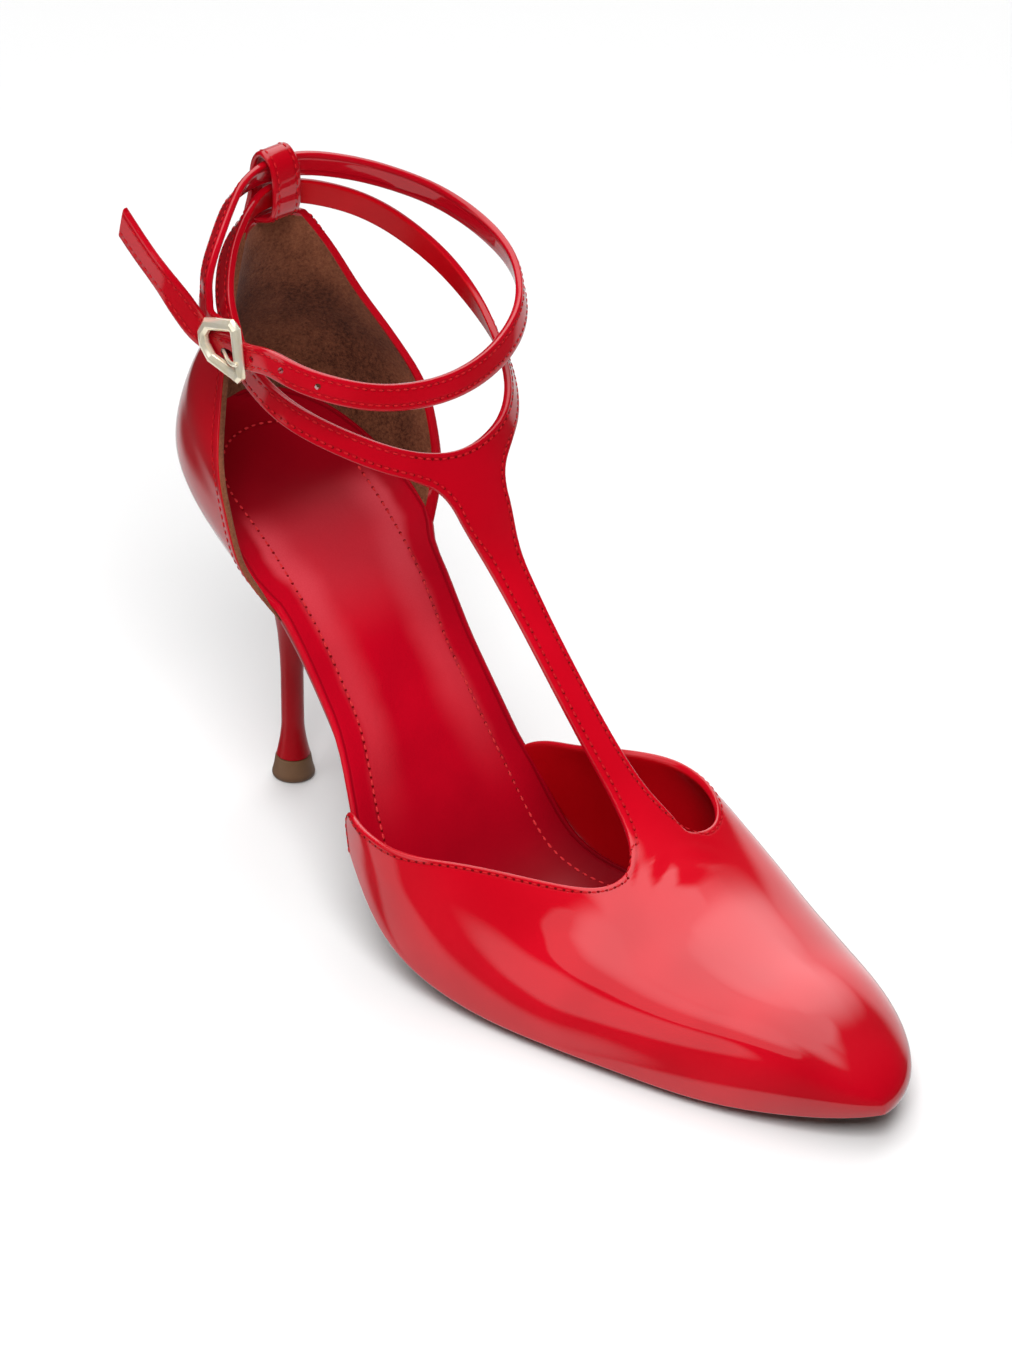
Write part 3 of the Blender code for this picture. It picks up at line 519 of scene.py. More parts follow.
    def cup_point(self, turn: Any, rise: Any, grow: float) -> Points:
        """Point of the heel cup.

        Args:
            turn: From -1 at the inner rim round the back to 1 at the outer rim.
            rise: Height above the insole.
            grow: Distance outside the form.

        Returns:
            Points in shoe axes.
        """
        turn = np.asarray(turn, float)
        back = along(self.cup, "back_u", rise) - grow
        rim = along(self.cup, "rim_u", rise)
        wide = along(self.cup, "rim_half_width", rise) + grow
        power = 2 / along(self.cup, "square", rise)
        span = np.radians(along(self.cup, "span", rise))
        end = np.cos(span) ** power
        reach = (np.cos(turn * span) ** power - end) / (1 - end)
        side = np.sign(turn) * (np.abs(np.sin(turn * span)) / np.sin(span)) ** power
        u = rim - (rim - back) * held(reach)
        return np.stack([u, wide * side, self.bed_height(np.clip(u, 0, None)) + rise], axis=-1)


@dataclass(frozen=True)
class Axes:
    """Where the shoe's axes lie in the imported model."""

    shift: tuple[float, float]

    @classmethod
    def of_frame(cls, heel_u: float) -> Axes:
        """Read the place of the heel's top piece.

        Args:
            heel_u: Middle of the top piece in shoe axes.

        Returns:
            The axes.
        """
        low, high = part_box("heel_top_piece")
        return cls((-(low.x + high.x) / 2, -heel_u * MM - (low.y + high.y) / 2))

    def to_row(self, points: Any) -> Points:
        """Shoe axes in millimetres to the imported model's frame in metres."""
        points = np.asarray(points, float)
        x = -points[..., 1] * MM - self.shift[0]
        y = -points[..., 0] * MM - self.shift[1]
        return np.stack([x, y, points[..., 2] * MM], axis=-1)

    def to_shoe(self, points: Any) -> Points:
        """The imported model's frame in metres to shoe axes in millimetres."""
        points = np.asarray(points, float)
        u = -(points[..., 1] + self.shift[1]) / MM
        v = -(points[..., 0] + self.shift[0]) / MM
        return np.stack([u, v, points[..., 2] / MM], axis=-1)


def read_points(mesh: bpy.types.Mesh) -> Points:
    """Coordinates of a mesh's points."""
    flat = np.zeros(len(mesh.vertices) * 3)
    mesh.vertices.foreach_get("co", flat)
    return flat.reshape(-1, 3)


def settle(made: Piece) -> Piece:
    """Turn an object's modifiers into plain mesh.

    Args:
        made: Object with live modifiers.

    Returns:
        The same object without them.
    """
    bpy.context.view_layer.update()
    solved = made.evaluated_get(bpy.context.evaluated_depsgraph_get())
    mesh = bpy.data.meshes.new_from_object(solved, preserve_all_data_layers=True,
                                           depsgraph=bpy.context.evaluated_depsgraph_get())
    made.modifiers.clear()
    made.data = mesh
    mesh.name = made.name
    return made


class Draft:
    """One piece of the shoe while its points and faces are gathered in shoe axes."""

    def __init__(self, name: str) -> None:
        """Start an empty piece."""
        self.name = name
        self.points: list[Points] = []
        self.faces: list[list[int]] = []
        self.marks: list[int] = []

    def add(self, points: Any) -> int:
        """Add points and return the index of the first."""
        start = len(self.points)
        self.points += list(np.asarray(points, float).reshape(-1, 3))
        return start

    def face(self, corners: Sequence[int], mark: int = 0) -> None:
        """Add a face with the number of its finish."""
        self.faces.append(list(corners))
        self.marks.append(mark)

    def grid(self, start: int, rows: int, columns: int, mark: int = 0, closed: bool = False) -> None:
        """Faces over rows of points.

        Args:
            start: Index of the first point.
            rows: Number of rows.
            columns: Points in a row.
            mark: Number of the finish.
            closed: Whether each row closes on itself.
        """
        for i in range(rows - 1):
            for j in range(columns if closed else columns - 1):
                a = start + i * columns + j
                b = start + i * columns + (j + 1) % columns
                self.face([a, b, b + columns, a + columns], mark)

    def loft(self, rings: Sequence[Points], mark: int = 0) -> None:
        """Closed tube through rings of one count, capped at both ends."""
        count = len(rings[0])
        start = self.add(np.concatenate(rings))
        self.grid(start, len(rings), count, mark, closed=True)
        for r in (0, len(rings) - 1):
            middle = self.add(np.mean(rings[r], axis=0))
            for i in range(count):
                self.face([start + r * count + i, start + r * count + (i + 1) % count, middle], mark)

    def shell(self, outside: Points, inside: Points, faces: list[list[int]]) -> None:
        """Closed wall between an outside sheet and its inside twin.

        Args:
            outside: Points of the outer face, marked 0 with the edges.
            inside: Points of the inner face, marked 1.
            faces: Faces of the sheet, in any winding.
        """
        sheet = bmesh.new()
        corners = [sheet.verts.new(p) for p in outside]
        for face in faces:
            sheet.faces.new([corners[i] for i in face])
        sheet.verts.index_update()
        bmesh.ops.recalc_face_normals(sheet, faces=sheet.faces)
        faces = [[v.index for v in face.verts] for face in sheet.faces]
        sheet.free()
        count = len(outside)
        start = self.add(outside)
        self.add(inside)
        used = {(a, b) for face in faces for a, b in zip(face, face[1:] + face[:1])}
        for face in faces:
            self.face([start + i for i in face], 0)
            self.face([start + count + i for i in reversed(face)], 1)
        for a, b in used:
            if (b, a) not in used:
                self.face([start + b, start + a, start + count + a, start + count + b], 0)

    def make(self, axes: Axes, finishes: Sequence[Material], levels: int = 0) -> Piece:
        """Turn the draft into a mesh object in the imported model's frame.

        Args:
            axes: Place of the shoe's axes.
            finishes: Materials in the order of the marks.
            levels: Levels of subdivision.

        Returns:
            The object, smooth and facing outwards.
        """
        mesh = bpy.data.meshes.new(self.name)
        mesh.from_pydata([tuple(p) for p in axes.to_row(np.array(self.points))], [], self.faces)
        mesh.polygons.foreach_set("material_index", self.marks)
        for finish in finishes:
            mesh.materials.append(finish)
        work = bmesh.new()
        work.from_mesh(mesh)
        bmesh.ops.remove_doubles(work, verts=work.verts, dist=1e-7)
        bmesh.ops.recalc_face_normals(work, faces=work.faces)
        if work.calc_volume(signed=True) < 0:
            bmesh.ops.reverse_faces(work, faces=work.faces)
        work.to_mesh(mesh)
        work.free()
        made = bpy.data.objects.new(self.name, mesh)
        bpy.context.scene.collection.objects.link(made)
        if levels:
            smooth = made.modifiers.new("round", "SUBSURF")
            smooth.levels = levels
            smooth.render_levels = levels
            settle(made)
        made.data.shade_smooth()
        return made


def sharpen(made: Piece, degrees: float) -> None:
    """Keep edges crisp where faces meet at more than an angle."""
    made.data.shade_smooth()
    made.data.set_sharp_from_angle(angle=math.radians(degrees))


def tube(name: str, rings: Sequence[Points], axes: Axes, finish: Material) -> Piece:
    """Closed tube through rings of one count as an object."""
    draft = Draft(name)
    draft.loft(rings)
    return draft.make(axes, [finish])


def surface_of(made: Piece) -> BVHTree:
    """Search tree over the faces of an object."""
    return BVHTree.FromPolygons([v.co for v in made.data.vertices],
                                [tuple(p.vertices) for p in made.data.polygons])


def mark_edge(made: Piece, rim: Points, name: str = "edge") -> None:
    """Write each point's distance from a rim, in millimetres, as an attribute.

    Args:
        made: Piece to mark.
        rim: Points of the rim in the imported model's frame.
        name: Name of the attribute.
    """
    tree = KDTree(len(rim))
    for i, place in enumerate(rim):
        tree.insert(place, i)
    tree.balance()
    far = [tree.find(p)[2] / MM for p in read_points(made.data)]
    mark_points(made, name, far)


def mark_points(made: Piece, name: str, values: Sequence[float]) -> None:
    """Write a number for each point as an attribute."""
    layer = made.data.attributes.new(name, "FLOAT", "POINT")
    layer.data.foreach_set("value", np.asarray(values, np.float32))


def cut_with(target: Piece, tools: Sequence[Piece]) -> None:
    """Cut a piece with tools that then go away."""
    for tool in tools:
        change = target.modifiers.new("cut", "BOOLEAN")
        change.operation = "DIFFERENCE"
        change.solver = "EXACT"
        change.object = tool
    settle(target)
    for tool in tools:
        bpy.data.objects.remove(tool)


def place(made: Piece, slot: Slot, *nodes: str) -> Piece:
    """Hand a finished piece to the frame.

    Args:
        made: Finished piece.
        slot: Material slot of the record; not used.
        nodes: Solids that the piece stands for.

    Returns:
        The piece.
    """
    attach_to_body(made, "root")
    if nodes:
        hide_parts(*nodes)
    LOG.info("%s: %d faces", made.name, len(made.data.polygons))
    return made


# Materials

Colour = tuple[float, float, float]


class Value:
    """A socket of a material that ordinary arithmetic extends with Math nodes."""

    def __init__(self, painter: Painter, socket: bpy.types.NodeSocket) -> None:
        """Hold a socket together with the material that it belongs to."""
        self.painter = painter
        self.socket = socket

    def _math(self, operation: str, first: Any, second: Any = 0.0) -> Value:
        """A Math node of two terms."""
        return self.painter.node("ShaderNodeMath", {"operation": operation}, {0: first, 1: second})

    def __add__(self, other: Any) -> Value:
        """Sum."""
        return self._math("ADD", self, other)

    def __radd__(self, other: Any) -> Value:
        """Sum, reflected."""
        return self._math("ADD", other, self)

    def __sub__(self, other: Any) -> Value:
        """Difference."""
        return self._math("SUBTRACT", self, other)

    def __rsub__(self, other: Any) -> Value:
        """Difference, reflected."""
        return self._math("SUBTRACT", other, self)

    def __mul__(self, other: Any) -> Value:
        """Product."""
        return self._math("MULTIPLY", self, other)

    def __rmul__(self, other: Any) -> Value:
        """Product, reflected."""
        return self._math("MULTIPLY", other, self)

    def __abs__(self) -> Value:
        """Size without sign."""
        return self._math("ABSOLUTE", self)

    def ease(self, low: float, high: float) -> Value:
        """Smooth step from 0 at low to 1 at high; low may be the larger."""
        settings = {"interpolation_type": "SMOOTHSTEP"}
        flip = low > high
        near, far = (high, low) if flip else (low, high)
        made = self.painter.node("ShaderNodeMapRange", settings,
                                 {"Value": self, "From Min": near, "From Max": far})
        return 1.0 - made if flip else made


def join(tree: bpy.types.NodeTree, given: Any, socket: bpy.types.NodeSocket) -> None:
    """Link a value or an output to a socket, or set a constant on it."""
    given = given.socket if isinstance(given, Value) else given
    if isinstance(given, bpy.types.NodeSocket):
        tree.links.new(given, socket)
    elif isinstance(given, tuple) and len(given) == 3 and len(socket.default_value) == 4:
        socket.default_value = (*given, 1.0)
    else:
        socket.default_value = given


def add_node(tree: bpy.types.NodeTree, kind: str, settings: dict[str, Any] | None = None,
             inputs: dict[Any, Any] | None = None) -> bpy.types.Node:
    """Add a node to a tree.

    Args:
        tree: Tree of a material, of the world or of the stitches.
        kind: Type of the node.
        settings: Properties, set first.
        inputs: Constants, values or outputs by socket name or number.

    Returns:
        The node.
    """
    made = tree.nodes.new(kind)
    for name, setting in (settings or {}).items():
        setattr(made, name, setting)
    for key, given in (inputs or {}).items():
        join(tree, given, made.inputs[key])
    return made


class Painter:
    """One material in the making: nodes through one method, then the sockets of its shader."""

    def __init__(self, name: str) -> None:
        """Start a material with a principled shader."""
        self.material = bpy.data.materials.new(name)
        self.material.use_nodes = True
        self.tree = self.material.node_tree
        self.shader = next(n for n in self.tree.nodes if n.type == "BSDF_PRINCIPLED")
        self.place = self.node("ShaderNodeTexCoord", output="Object")

    def node(self, kind: str, settings: dict[str, Any] | None = None,
             inputs: dict[Any, Any] | None = None, output: Any = 0) -> Value:
        """Add a node and return one of its outputs as a value."""
        return Value(self, add_node(self.tree, kind, settings, inputs).outputs[output])

    def noise(self, size: float, detail: float = 2.0, rough: float = 0.5,
              stretch: Colour = (1.0, 1.0, 1.0)) -> Value:
        """Noise from 0 to 1.

        Args:
            size: Size of its lumps in millimetres.
            detail: Octaves of finer lumps.
            rough: Strength of the finer lumps.
            stretch: Frequency along each axis, 1 for the size itself.

        Returns:
            The noise.
        """
        where = self.node("ShaderNodeMapping", inputs={"Vector": self.place, "Scale": stretch})
        return self.node("ShaderNodeTexNoise", inputs={
            "Vector": where, "Scale": 1.0 / (size * MM), "Detail": detail, "Roughness": rough})

    def cells(self, size: float) -> Value:
        """Distance from the nearest of scattered points, for leather grain."""
        return self.node("ShaderNodeTexVoronoi", inputs={"Vector": self.place, "Scale": 1.0 / (size * MM)})

    def axis(self, name: str) -> Value:
        """One coordinate of the place, in metres."""
        return self.node("ShaderNodeSeparateXYZ", inputs={0: self.place}, output=name)

    def mark(self, name: str) -> Value:
        """A number that the mesh carries."""
        return self.node("ShaderNodeAttribute", {"attribute_name": name}, output="Fac")

    def mix(self, share: Any, first: Any, second: Any) -> Value:
        """Colour between two others."""
        settings = {"data_type": "RGBA", "clamp_factor": True}
        return self.node("ShaderNodeMix", settings, {0: share, 6: first, 7: second}, output=2)

    def relief(self, height: Value) -> Value:
        """Normal of a surface with a fine height in millimetres."""
        return self.node("ShaderNodeBump", inputs={"Strength": 1.0, "Distance": MM, "Height": height})

    def done(self, **sockets: Any) -> Material:
        """Set the shader's sockets by name, with spaces written as underscores.

        Args:
            sockets: Constants or values.

        Returns:
            The material.
        """
        for name, given in sockets.items():
            join(self.tree, given, self.shader.inputs[name.replace("_", " ")])
        return self.material


def dimmed(colour: Colour, share: float) -> Colour:
    """A colour at a share of its strength."""
    return tuple(share * c for c in colour)


@dataclass(frozen=True)
class Finish:
    """A material that varies between two colours."""

    name: str
    deep: Colour
    bright: Colour

    def make(self) -> Material:
        """Build the material."""
        return self.paint(Painter(self.name))

    def paint(self, p: Painter) -> Material:
        """Lay the nodes and set the sockets."""
        raise NotImplementedError


@dataclass(frozen=True)
class Patent(Finish):
    """Glossy coated leather, gently wavy, with a pressed line under its stitches."""

    rough: float = 0.34
    groove: float | None = None
    wave: float = 0.05
    # Whether the colour carries painted shade on the top of the Y head and at the toe.
    paints_shade: bool = False

    def paint(self, p: Painter) -> Material:
        """Lay the nodes and set the sockets."""
        broad = p.noise(22.0, 1.0)
        fine = p.noise(0.45, 3.0, 0.6)
        height = self.wave * (p.noise(13.0, 1.5) + 0.12 * p.noise(4.5, 2.0)) + 0.0016 * fine
        colour = p.mix(broad.ease(0.3, 0.7), self.deep, self.bright)
        if self.paints_shade:
            # Painted shade: the colour darkens towards the top of the Y head and towards the toe tip.
            depth = 0.42 * p.axis("Z").ease(0.086, 0.106) + 0.40 * p.axis("Y").ease(-0.080, -0.099)
            colour = p.mix(depth, colour, dimmed(self.deep, 0.5))
        if self.groove is not None:
            line = abs(p.mark("edge") - self.groove).ease(0.55, 0.1)
            height = height - 0.09 * line
            # Painted shade: the colour darkens along the pressed groove under the stitches.
            colour = p.mix(line * 0.2, colour, dimmed(self.deep, 0.5))
        return p.done(Base_Color=colour, Roughness=self.rough + 0.08 * p.noise(5.0, 3.0),
                      Normal=p.relief(height), Coat_Weight=0.85 + 0.15 * broad, Coat_Roughness=0.03,
                      Coat_IOR=1.58, Specular_IOR_Level=0.06)


@dataclass(frozen=True)
class Leather(Finish):
    """Satin leather with a fine grain."""

    rough: float = 0.4
    grain: float = 0.9
    coat: float = 0.0
    groove: float | None = None
    # Colour of painted highlight bands on the insole, if any.
    painted_highlight: Colour | None = None

    def paint(self, p: Painter) -> Material:
        """Lay the nodes and set the sockets."""
        broad = p.noise(18.0, 3.0)
        pores = p.cells(self.grain)
        fine = p.noise(0.3, 2.0)
        height = 0.02 * pores + 0.006 * fine + 0.05 * p.noise(11.0, 1.0)
        colour = p.mix(broad.ease(0.25, 0.75) * 0.8 + 0.2 * pores, self.deep, self.bright)
        if self.groove is not None:
            line = abs(p.mark("edge") - self.groove).ease(0.9, 0.2)
            height = height - 0.14 * line
            welt = abs(p.mark("welt") - 1.7).ease(0.5, 0.1)
            height = height - 0.14 * welt
            # Painted shade: the colour darkens along the pressed groove of the stitched line and along the
            # welt line.
            colour = p.mix(line * 0.45 + welt * 0.5, colour, dimmed(self.deep, 0.4))
        if self.painted_highlight is not None:
            # Painted highlight: lighter pinkish bands along both flanks and towards the heel seat, jittered
            # by noise.
            length = p.axis("Y")
            inward = p.mark("welt") + 4.0 * p.noise(14.0, 2.0)
            bed = inward.ease(7.5, 10.5)
            highlight_bands = 0.4 * (bed * inward.ease(20.0, 12.0)) + 0.3 * (length.ease(0.050, 0.066) * bed)
            highlight_share = length.ease(0.018, 0.044) * length.ease(0.084, 0.074) * highlight_bands * (0.7 + 0.5 * fine)
            # Painted shade: darker in the heel seat between the counter's walls and towards the toe, under
            # the vamp.
            shaded = 0.68 * length.ease(0.040, 0.000) + 0.62 * length.ease(0.066, 0.086)
            colour = p.mix(shaded, colour, dimmed(self.deep, 0.2))
            colour = p.mix(highlight_share, colour, self.painted_highlight)
        return p.done(Base_Color=colour, Roughness=self.rough + 0.12 * p.noise(3.0, 3.0),
                      Normal=p.relief(height), Coat_Weight=self.coat + 0.05 * fine, Coat_Roughness=0.24,
                      Coat_IOR=1.5, Specular_IOR_Level=0.05)


@dataclass(frozen=True)
class Suede(Finish):
    """Napped lining, paler towards the rim and in broad random patches."""

    rim: float = 9.0

    def paint(self, p: Painter) -> Material:
        """Lay the nodes and set the sockets."""
        nap = p.noise(0.8, 4.0, 0.85)
        patch = p.noise(16.0, 3.0, 0.6)
        strokes = p.noise(2.5, 4.0, 0.7, (1.0, 1.0, 0.4))
        pale = p.mark("edge").ease(self.rim, 1.0) * 0.4
        share = pale + 0.25 * patch.ease(0.35, 0.7) + 0.5 * (strokes - 0.35) + 1.9 * (nap - 0.5) + 0.15
        height = 0.16 * nap + 0.05 * strokes
        return p.done(Base_Color=p.mix(share, self.deep, self.bright), Roughness=0.85 + 0.1 * nap,
                      Normal=p.relief(height), Sheen_Weight=0.08, Sheen_Roughness=0.4,
                      Specular_IOR_Level=0.08)


@dataclass(frozen=True)
class Edging(Finish):
    """Sole leather, deep and bare at the tip of the toe and underneath, with a bright painted edge."""

    def paint(self, p: Painter) -> Material:
        """Lay the nodes and set the sockets."""
        plies = p.noise(0.5, 2.0, 0.5, (0.05, 0.05, 1.0))
        broad = p.noise(9.0, 3.0)
        scuff = p.noise(2.0, 4.0, 0.7, (1.0, 0.25, 1.0))
        waist = (p.axis("Y") + 0.004 * broad).ease(-0.101, -0.094) * p.mark("edge").ease(3.0, 2.2)
        bare = p.mix(0.6 * plies + 0.4 * scuff, self.deep, dimmed(self.deep, 1.8))
        paint = p.mix(broad, self.bright, dimmed(self.bright, 0.75))
        return p.done(Base_Color=p.mix(waist, bare, paint), Roughness=0.3 + 0.25 * scuff,
                      Coat_Weight=waist * 0.7, Coat_Roughness=0.1, Specular_IOR_Level=0.15,
                      Normal=p.relief(0.03 * plies + 0.02 * scuff))


@dataclass(frozen=True)
class Rubber(Finish):
    """Top piece of the heel, darker towards the floor."""

    def paint(self, p: Painter) -> Material:
        """Lay the nodes and set the sockets."""
        grit = p.noise(0.4, 4.0, 0.7)
        broad = p.noise(4.0, 2.0)
        foot = p.axis("Z").ease(0.0016, 0.0004)
        colour = p.mix(0.5 * grit + 0.5 * broad, self.deep, self.bright)
        # The colour darkens towards the floor.
        colour = p.mix(foot * 0.5, colour, dimmed(self.deep, 0.5))
        return p.done(Base_Color=colour, Roughness=0.5 + 0.2 * grit, Normal=p.relief(0.02 * grit))


@dataclass(frozen=True)
class Gilding(Finish):
    """Pale gold plating with fine brushing."""

    def paint(self, p: Painter) -> Material:
        """Lay the nodes and set the sockets."""
        broad = p.noise(2.5, 2.0)
        brush = p.noise(0.25, 2.0, 0.5, (1.0, 1.0, 0.2))
        return p.done(Base_Color=p.mix(broad.ease(0.3, 0.7), self.bright, self.deep), Metallic=0.6,
                      Roughness=0.12 + 0.1 * brush, Normal=p.relief(0.0012 * brush))


@dataclass(frozen=True)
class Thread(Finish):
    """Sewing thread, or a dark bead that stands for the painted shade in a stitch hole."""

    def paint(self, p: Painter) -> Material:
        """Lay the nodes and set the sockets."""
        twist = p.noise(0.16, 2.0)
        return p.done(Base_Color=p.mix(twist.ease(0.3, 0.7), self.deep, self.bright),
                      Roughness=0.55 + 0.2 * twist, Normal=p.relief(0.015 * twist), Specular_IOR_Level=0.1)


@dataclass(frozen=True)
class Paper(Finish):
    """White sweep that the shoe stands on."""

    def paint(self, p: Painter) -> Material:
        """Lay the nodes and set the sockets."""
        tooth = p.noise(1.2, 3.0)
        shade = p.mix(p.noise(160.0, 1.0), self.bright, self.deep)
        return p.done(Base_Color=shade, Roughness=0.8 + 0.1 * tooth, Normal=p.relief(0.01 * tooth),
                      Specular_IOR_Level=0.1)


def made_by(finish: Finish) -> Any:
    """Field that holds the material of a finish."""
    return field(default_factory=finish.make)


@dataclass(frozen=True)
class Finishes:
    """Every material of the shoe, made once."""

    patent: Material = made_by(Patent(
        "patent", (0.43, 0.0006, 0.0075), (0.50, 0.001, 0.010), groove=1.35, paints_shade=True))
    # Painted shade: the same red patent as the upper, darker, for the ankle strap and the loop.
    strap: Material = made_by(Patent(
        "strap_patent", (0.36, 0.0005, 0.006), (0.42, 0.001, 0.009), groove=1.3, wave=0.03))
    # Painted shade: the same red patent as the upper, darker, for the counter's outside.
    counter: Material = made_by(Patent(
        "counter_patent", (0.35, 0.0005, 0.006), (0.41, 0.0008, 0.008), groove=2.2))
    lining: Material = made_by(Leather(
        "red_lining", (0.36, 0.0005, 0.003), (0.43, 0.001, 0.005), rough=0.45, coat=0.4))
    suede: Material = made_by(Suede(
        "brown_suede", (0.042, 0.0105, 0.0055), (0.235, 0.082, 0.041)))
    insole: Material = made_by(Leather(
        "insole_leather", (0.38, 0.0005, 0.009), (0.46, 0.0008, 0.011), rough=0.32, grain=0.8, coat=0.35,
        groove=0.0, painted_highlight=(0.60, 0.06, 0.08)))
    outsole: Material = made_by(Edging(
        "outsole_edge", (0.055, 0.022, 0.012), (0.36, 0.001, 0.006)))
    # Painted shade: the heel is covered in the same red leather as the upper, darker.
    heel: Material = made_by(Leather(
        "covered_heel", (0.29, 0.001, 0.005), (0.34, 0.001, 0.006), rough=0.3, coat=0.3))
    top_piece: Material = made_by(Rubber(
        "tan_rubber", (0.11, 0.05, 0.022), (0.20, 0.105, 0.052)))
    gold: Material = made_by(Gilding("pale_gold", (0.95, 0.85, 0.63), (0.98, 0.91, 0.75)))
    thread: Material = made_by(Thread("red_thread", (0.36, 0.002, 0.007), (0.50, 0.014, 0.018)))
    # Painted highlight: the same red thread, brighter, for the insole's stitches.
    insole_thread: Material = made_by(Thread(
        "insole_thread", (0.44, 0.010, 0.014), (0.60, 0.040, 0.045)))
    # Painted shade: dark beads for the shade inside the stitch holes.
    pinhole: Material = made_by(Thread("pinhole", (0.11, 0.0006, 0.0012), (0.17, 0.001, 0.002)))
    paper: Material = made_by(Paper("white_paper", (0.7092, 0.7092, 0.7092), (0.72, 0.72, 0.72)))


# Stitches


@dataclass
class Row:
    """A line to sew: places and the surface's direction there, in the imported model's frame."""

    places: Points
    lifts: Points


@dataclass(frozen=True)
class Stitch:
    """Size of one stitch in millimetres, with the distance to the next."""

    pitch: float = 1.9
    long: float = 1.3
    wide: float = 0.5
    high: float = 0.3


SEAM = Stitch()
# Painted shade: dark beads between the stitches stand for the shade inside the stitch holes.
SEAM_HOLE = Stitch(1.9, 0.68, 0.58, 0.16)
INSOLE_SEAM = Stitch(2.1, 1.45, 0.62, 0.28)
# Painted shade: dark beads for the shade inside the insole's stitch holes.
INSOLE_HOLE = Stitch(2.1, 0.7, 0.75, 0.2)


class Sewing:
    """Lays stitches, and dark beads of painted shade for the stitch holes, along rows with one Geometry Nodes
    tree.
    """

    def __init__(self) -> None:
        """Build the tree."""
        self.tree = bpy.data.node_groups.new("stitch_rows", "GeometryNodeTree")
        self.sockets: dict[str, str] = {}
        kinds = {"Rows": "Geometry", "Pitch": "Float", "Size": "Vector", "Seed": "Int", "Finish": "Material"}
        for name, kind in kinds.items():
            made = self.tree.interface.new_socket(name, in_out="INPUT", socket_type=f"NodeSocket{kind}")
            self.sockets[name] = made.identifier
        self.tree.interface.new_socket("Stitches", in_out="OUTPUT", socket_type="NodeSocketGeometry")
        self._wire()

    def _wire(self) -> None:
        """Rows to evenly spaced points, a bead on each turned along its row, one plain mesh."""
        add = partial(add_node, self.tree)
        start = add("NodeGroupInput").outputs
        lines = add("GeometryNodeMeshToCurve", inputs={"Mesh": start["Rows"]})
        even = add("GeometryNodeResampleCurve", {"mode": "LENGTH"},
                   {"Curve": lines.outputs[0], "Length": start["Pitch"]})
        bead = add("GeometryNodeMeshUVSphere", inputs={"Segments": 8, "Rings": 6, "Radius": 0.5})
        shaped = add("GeometryNodeTransform", inputs={"Geometry": bead.outputs[0], "Scale": start["Size"]})
        tangent = add("GeometryNodeInputTangent")
        lift = add("GeometryNodeInputNamedAttribute", {"data_type": "FLOAT_VECTOR"}, {"Name": "lift"})
        ahead = add("FunctionNodeAlignRotationToVector", {"axis": "X"}, {"Vector": tangent.outputs[0]})
        upright = add("FunctionNodeAlignRotationToVector", {"axis": "Z", "pivot_axis": "X"},
                      {"Rotation": ahead.outputs[0], "Vector": lift.outputs[0]})
        vary = add("FunctionNodeRandomValue", {"data_type": "FLOAT"},
                   {2: 0.9, 3: 1.08, "Seed": start["Seed"]})
        laid = add("GeometryNodeInstanceOnPoints", inputs={
            "Points": even.outputs[0], "Instance": shaped.outputs[0],
            "Rotation": upright.outputs[0], "Scale": vary.outputs[1]})
        real = add("GeometryNodeRealizeInstances", inputs={0: laid.outputs[0]})
        smoothed = add("GeometryNodeSetShadeSmooth", inputs={0: real.outputs[0]})
        dressed = add("GeometryNodeSetMaterial", inputs={
            "Geometry": smoothed.outputs[0], "Material": start["Finish"]})
        add("NodeGroupOutput", inputs={0: dressed.outputs[0]})

    def sew(self, name: str, rows: Sequence[Row], stitch: Stitch, finish: Material,
            slot: Slot, seed: int) -> Piece:
        """Sew rows as one piece.

        Args:
            name: Name of the piece.
            rows: Lines to sew.
            stitch: Size of the stitches.
            finish: Thread, or the dark bead of painted shade for a stitch hole.
            slot: Material slot of the record.
            seed: Seed of the small differences between stitches.

        Returns:
            The stitches as a plain mesh, handed to the frame.
        """
        mesh = bpy.data.meshes.new(name)
        edges = []
        start = 0
        for row in rows:
            edges += [(start + i, start + i + 1) for i in range(len(row.places) - 1)]
            start += len(row.places)
        mesh.from_pydata([tuple(p) for row in rows for p in row.places], edges, [])
        lift = mesh.attributes.new("lift", "FLOAT_VECTOR", "POINT")
        lifts = np.concatenate([row.lifts for row in rows])
        lift.data.foreach_set("vector", lifts.astype(np.float32).ravel())
        made = bpy.data.objects.new(name, mesh)
        bpy.context.scene.collection.objects.link(made)
        nodes = made.modifiers.new("rows", "NODES")
        nodes.node_group = self.tree
        nodes[self.sockets["Pitch"]] = stitch.pitch * MM
        nodes[self.sockets["Size"]] = (stitch.long * MM, stitch.wide * MM, stitch.high * MM)
        nodes[self.sockets["Seed"]] = seed
        nodes[self.sockets["Finish"]] = finish
        return place(settle(made), slot)

    def seam(self, name: str, rows: Sequence[Row], finishes: Finishes, seed: int) -> None:
        """Sew rows of the patent leather, with dark beads of painted shade for the stitch holes between the
        stitches.
        """
        self.sew(f"{name}_stitches", rows, SEAM, finishes.thread, Slot.PATENT, seed)
        self.sew(f"{name}_pinholes", trim_rows(rows, SEAM.pitch / 2), SEAM_HOLE, finishes.pinhole,
                 Slot.PATENT, seed + 1)


def away_from(path: Points, middle_u: float) -> Points:
    """Level directions away from an upright line through the middle of the ankle."""
    return unit(np.stack([path[:, 0] - middle_u, path[:, 1], np.zeros(len(path))], axis=1))


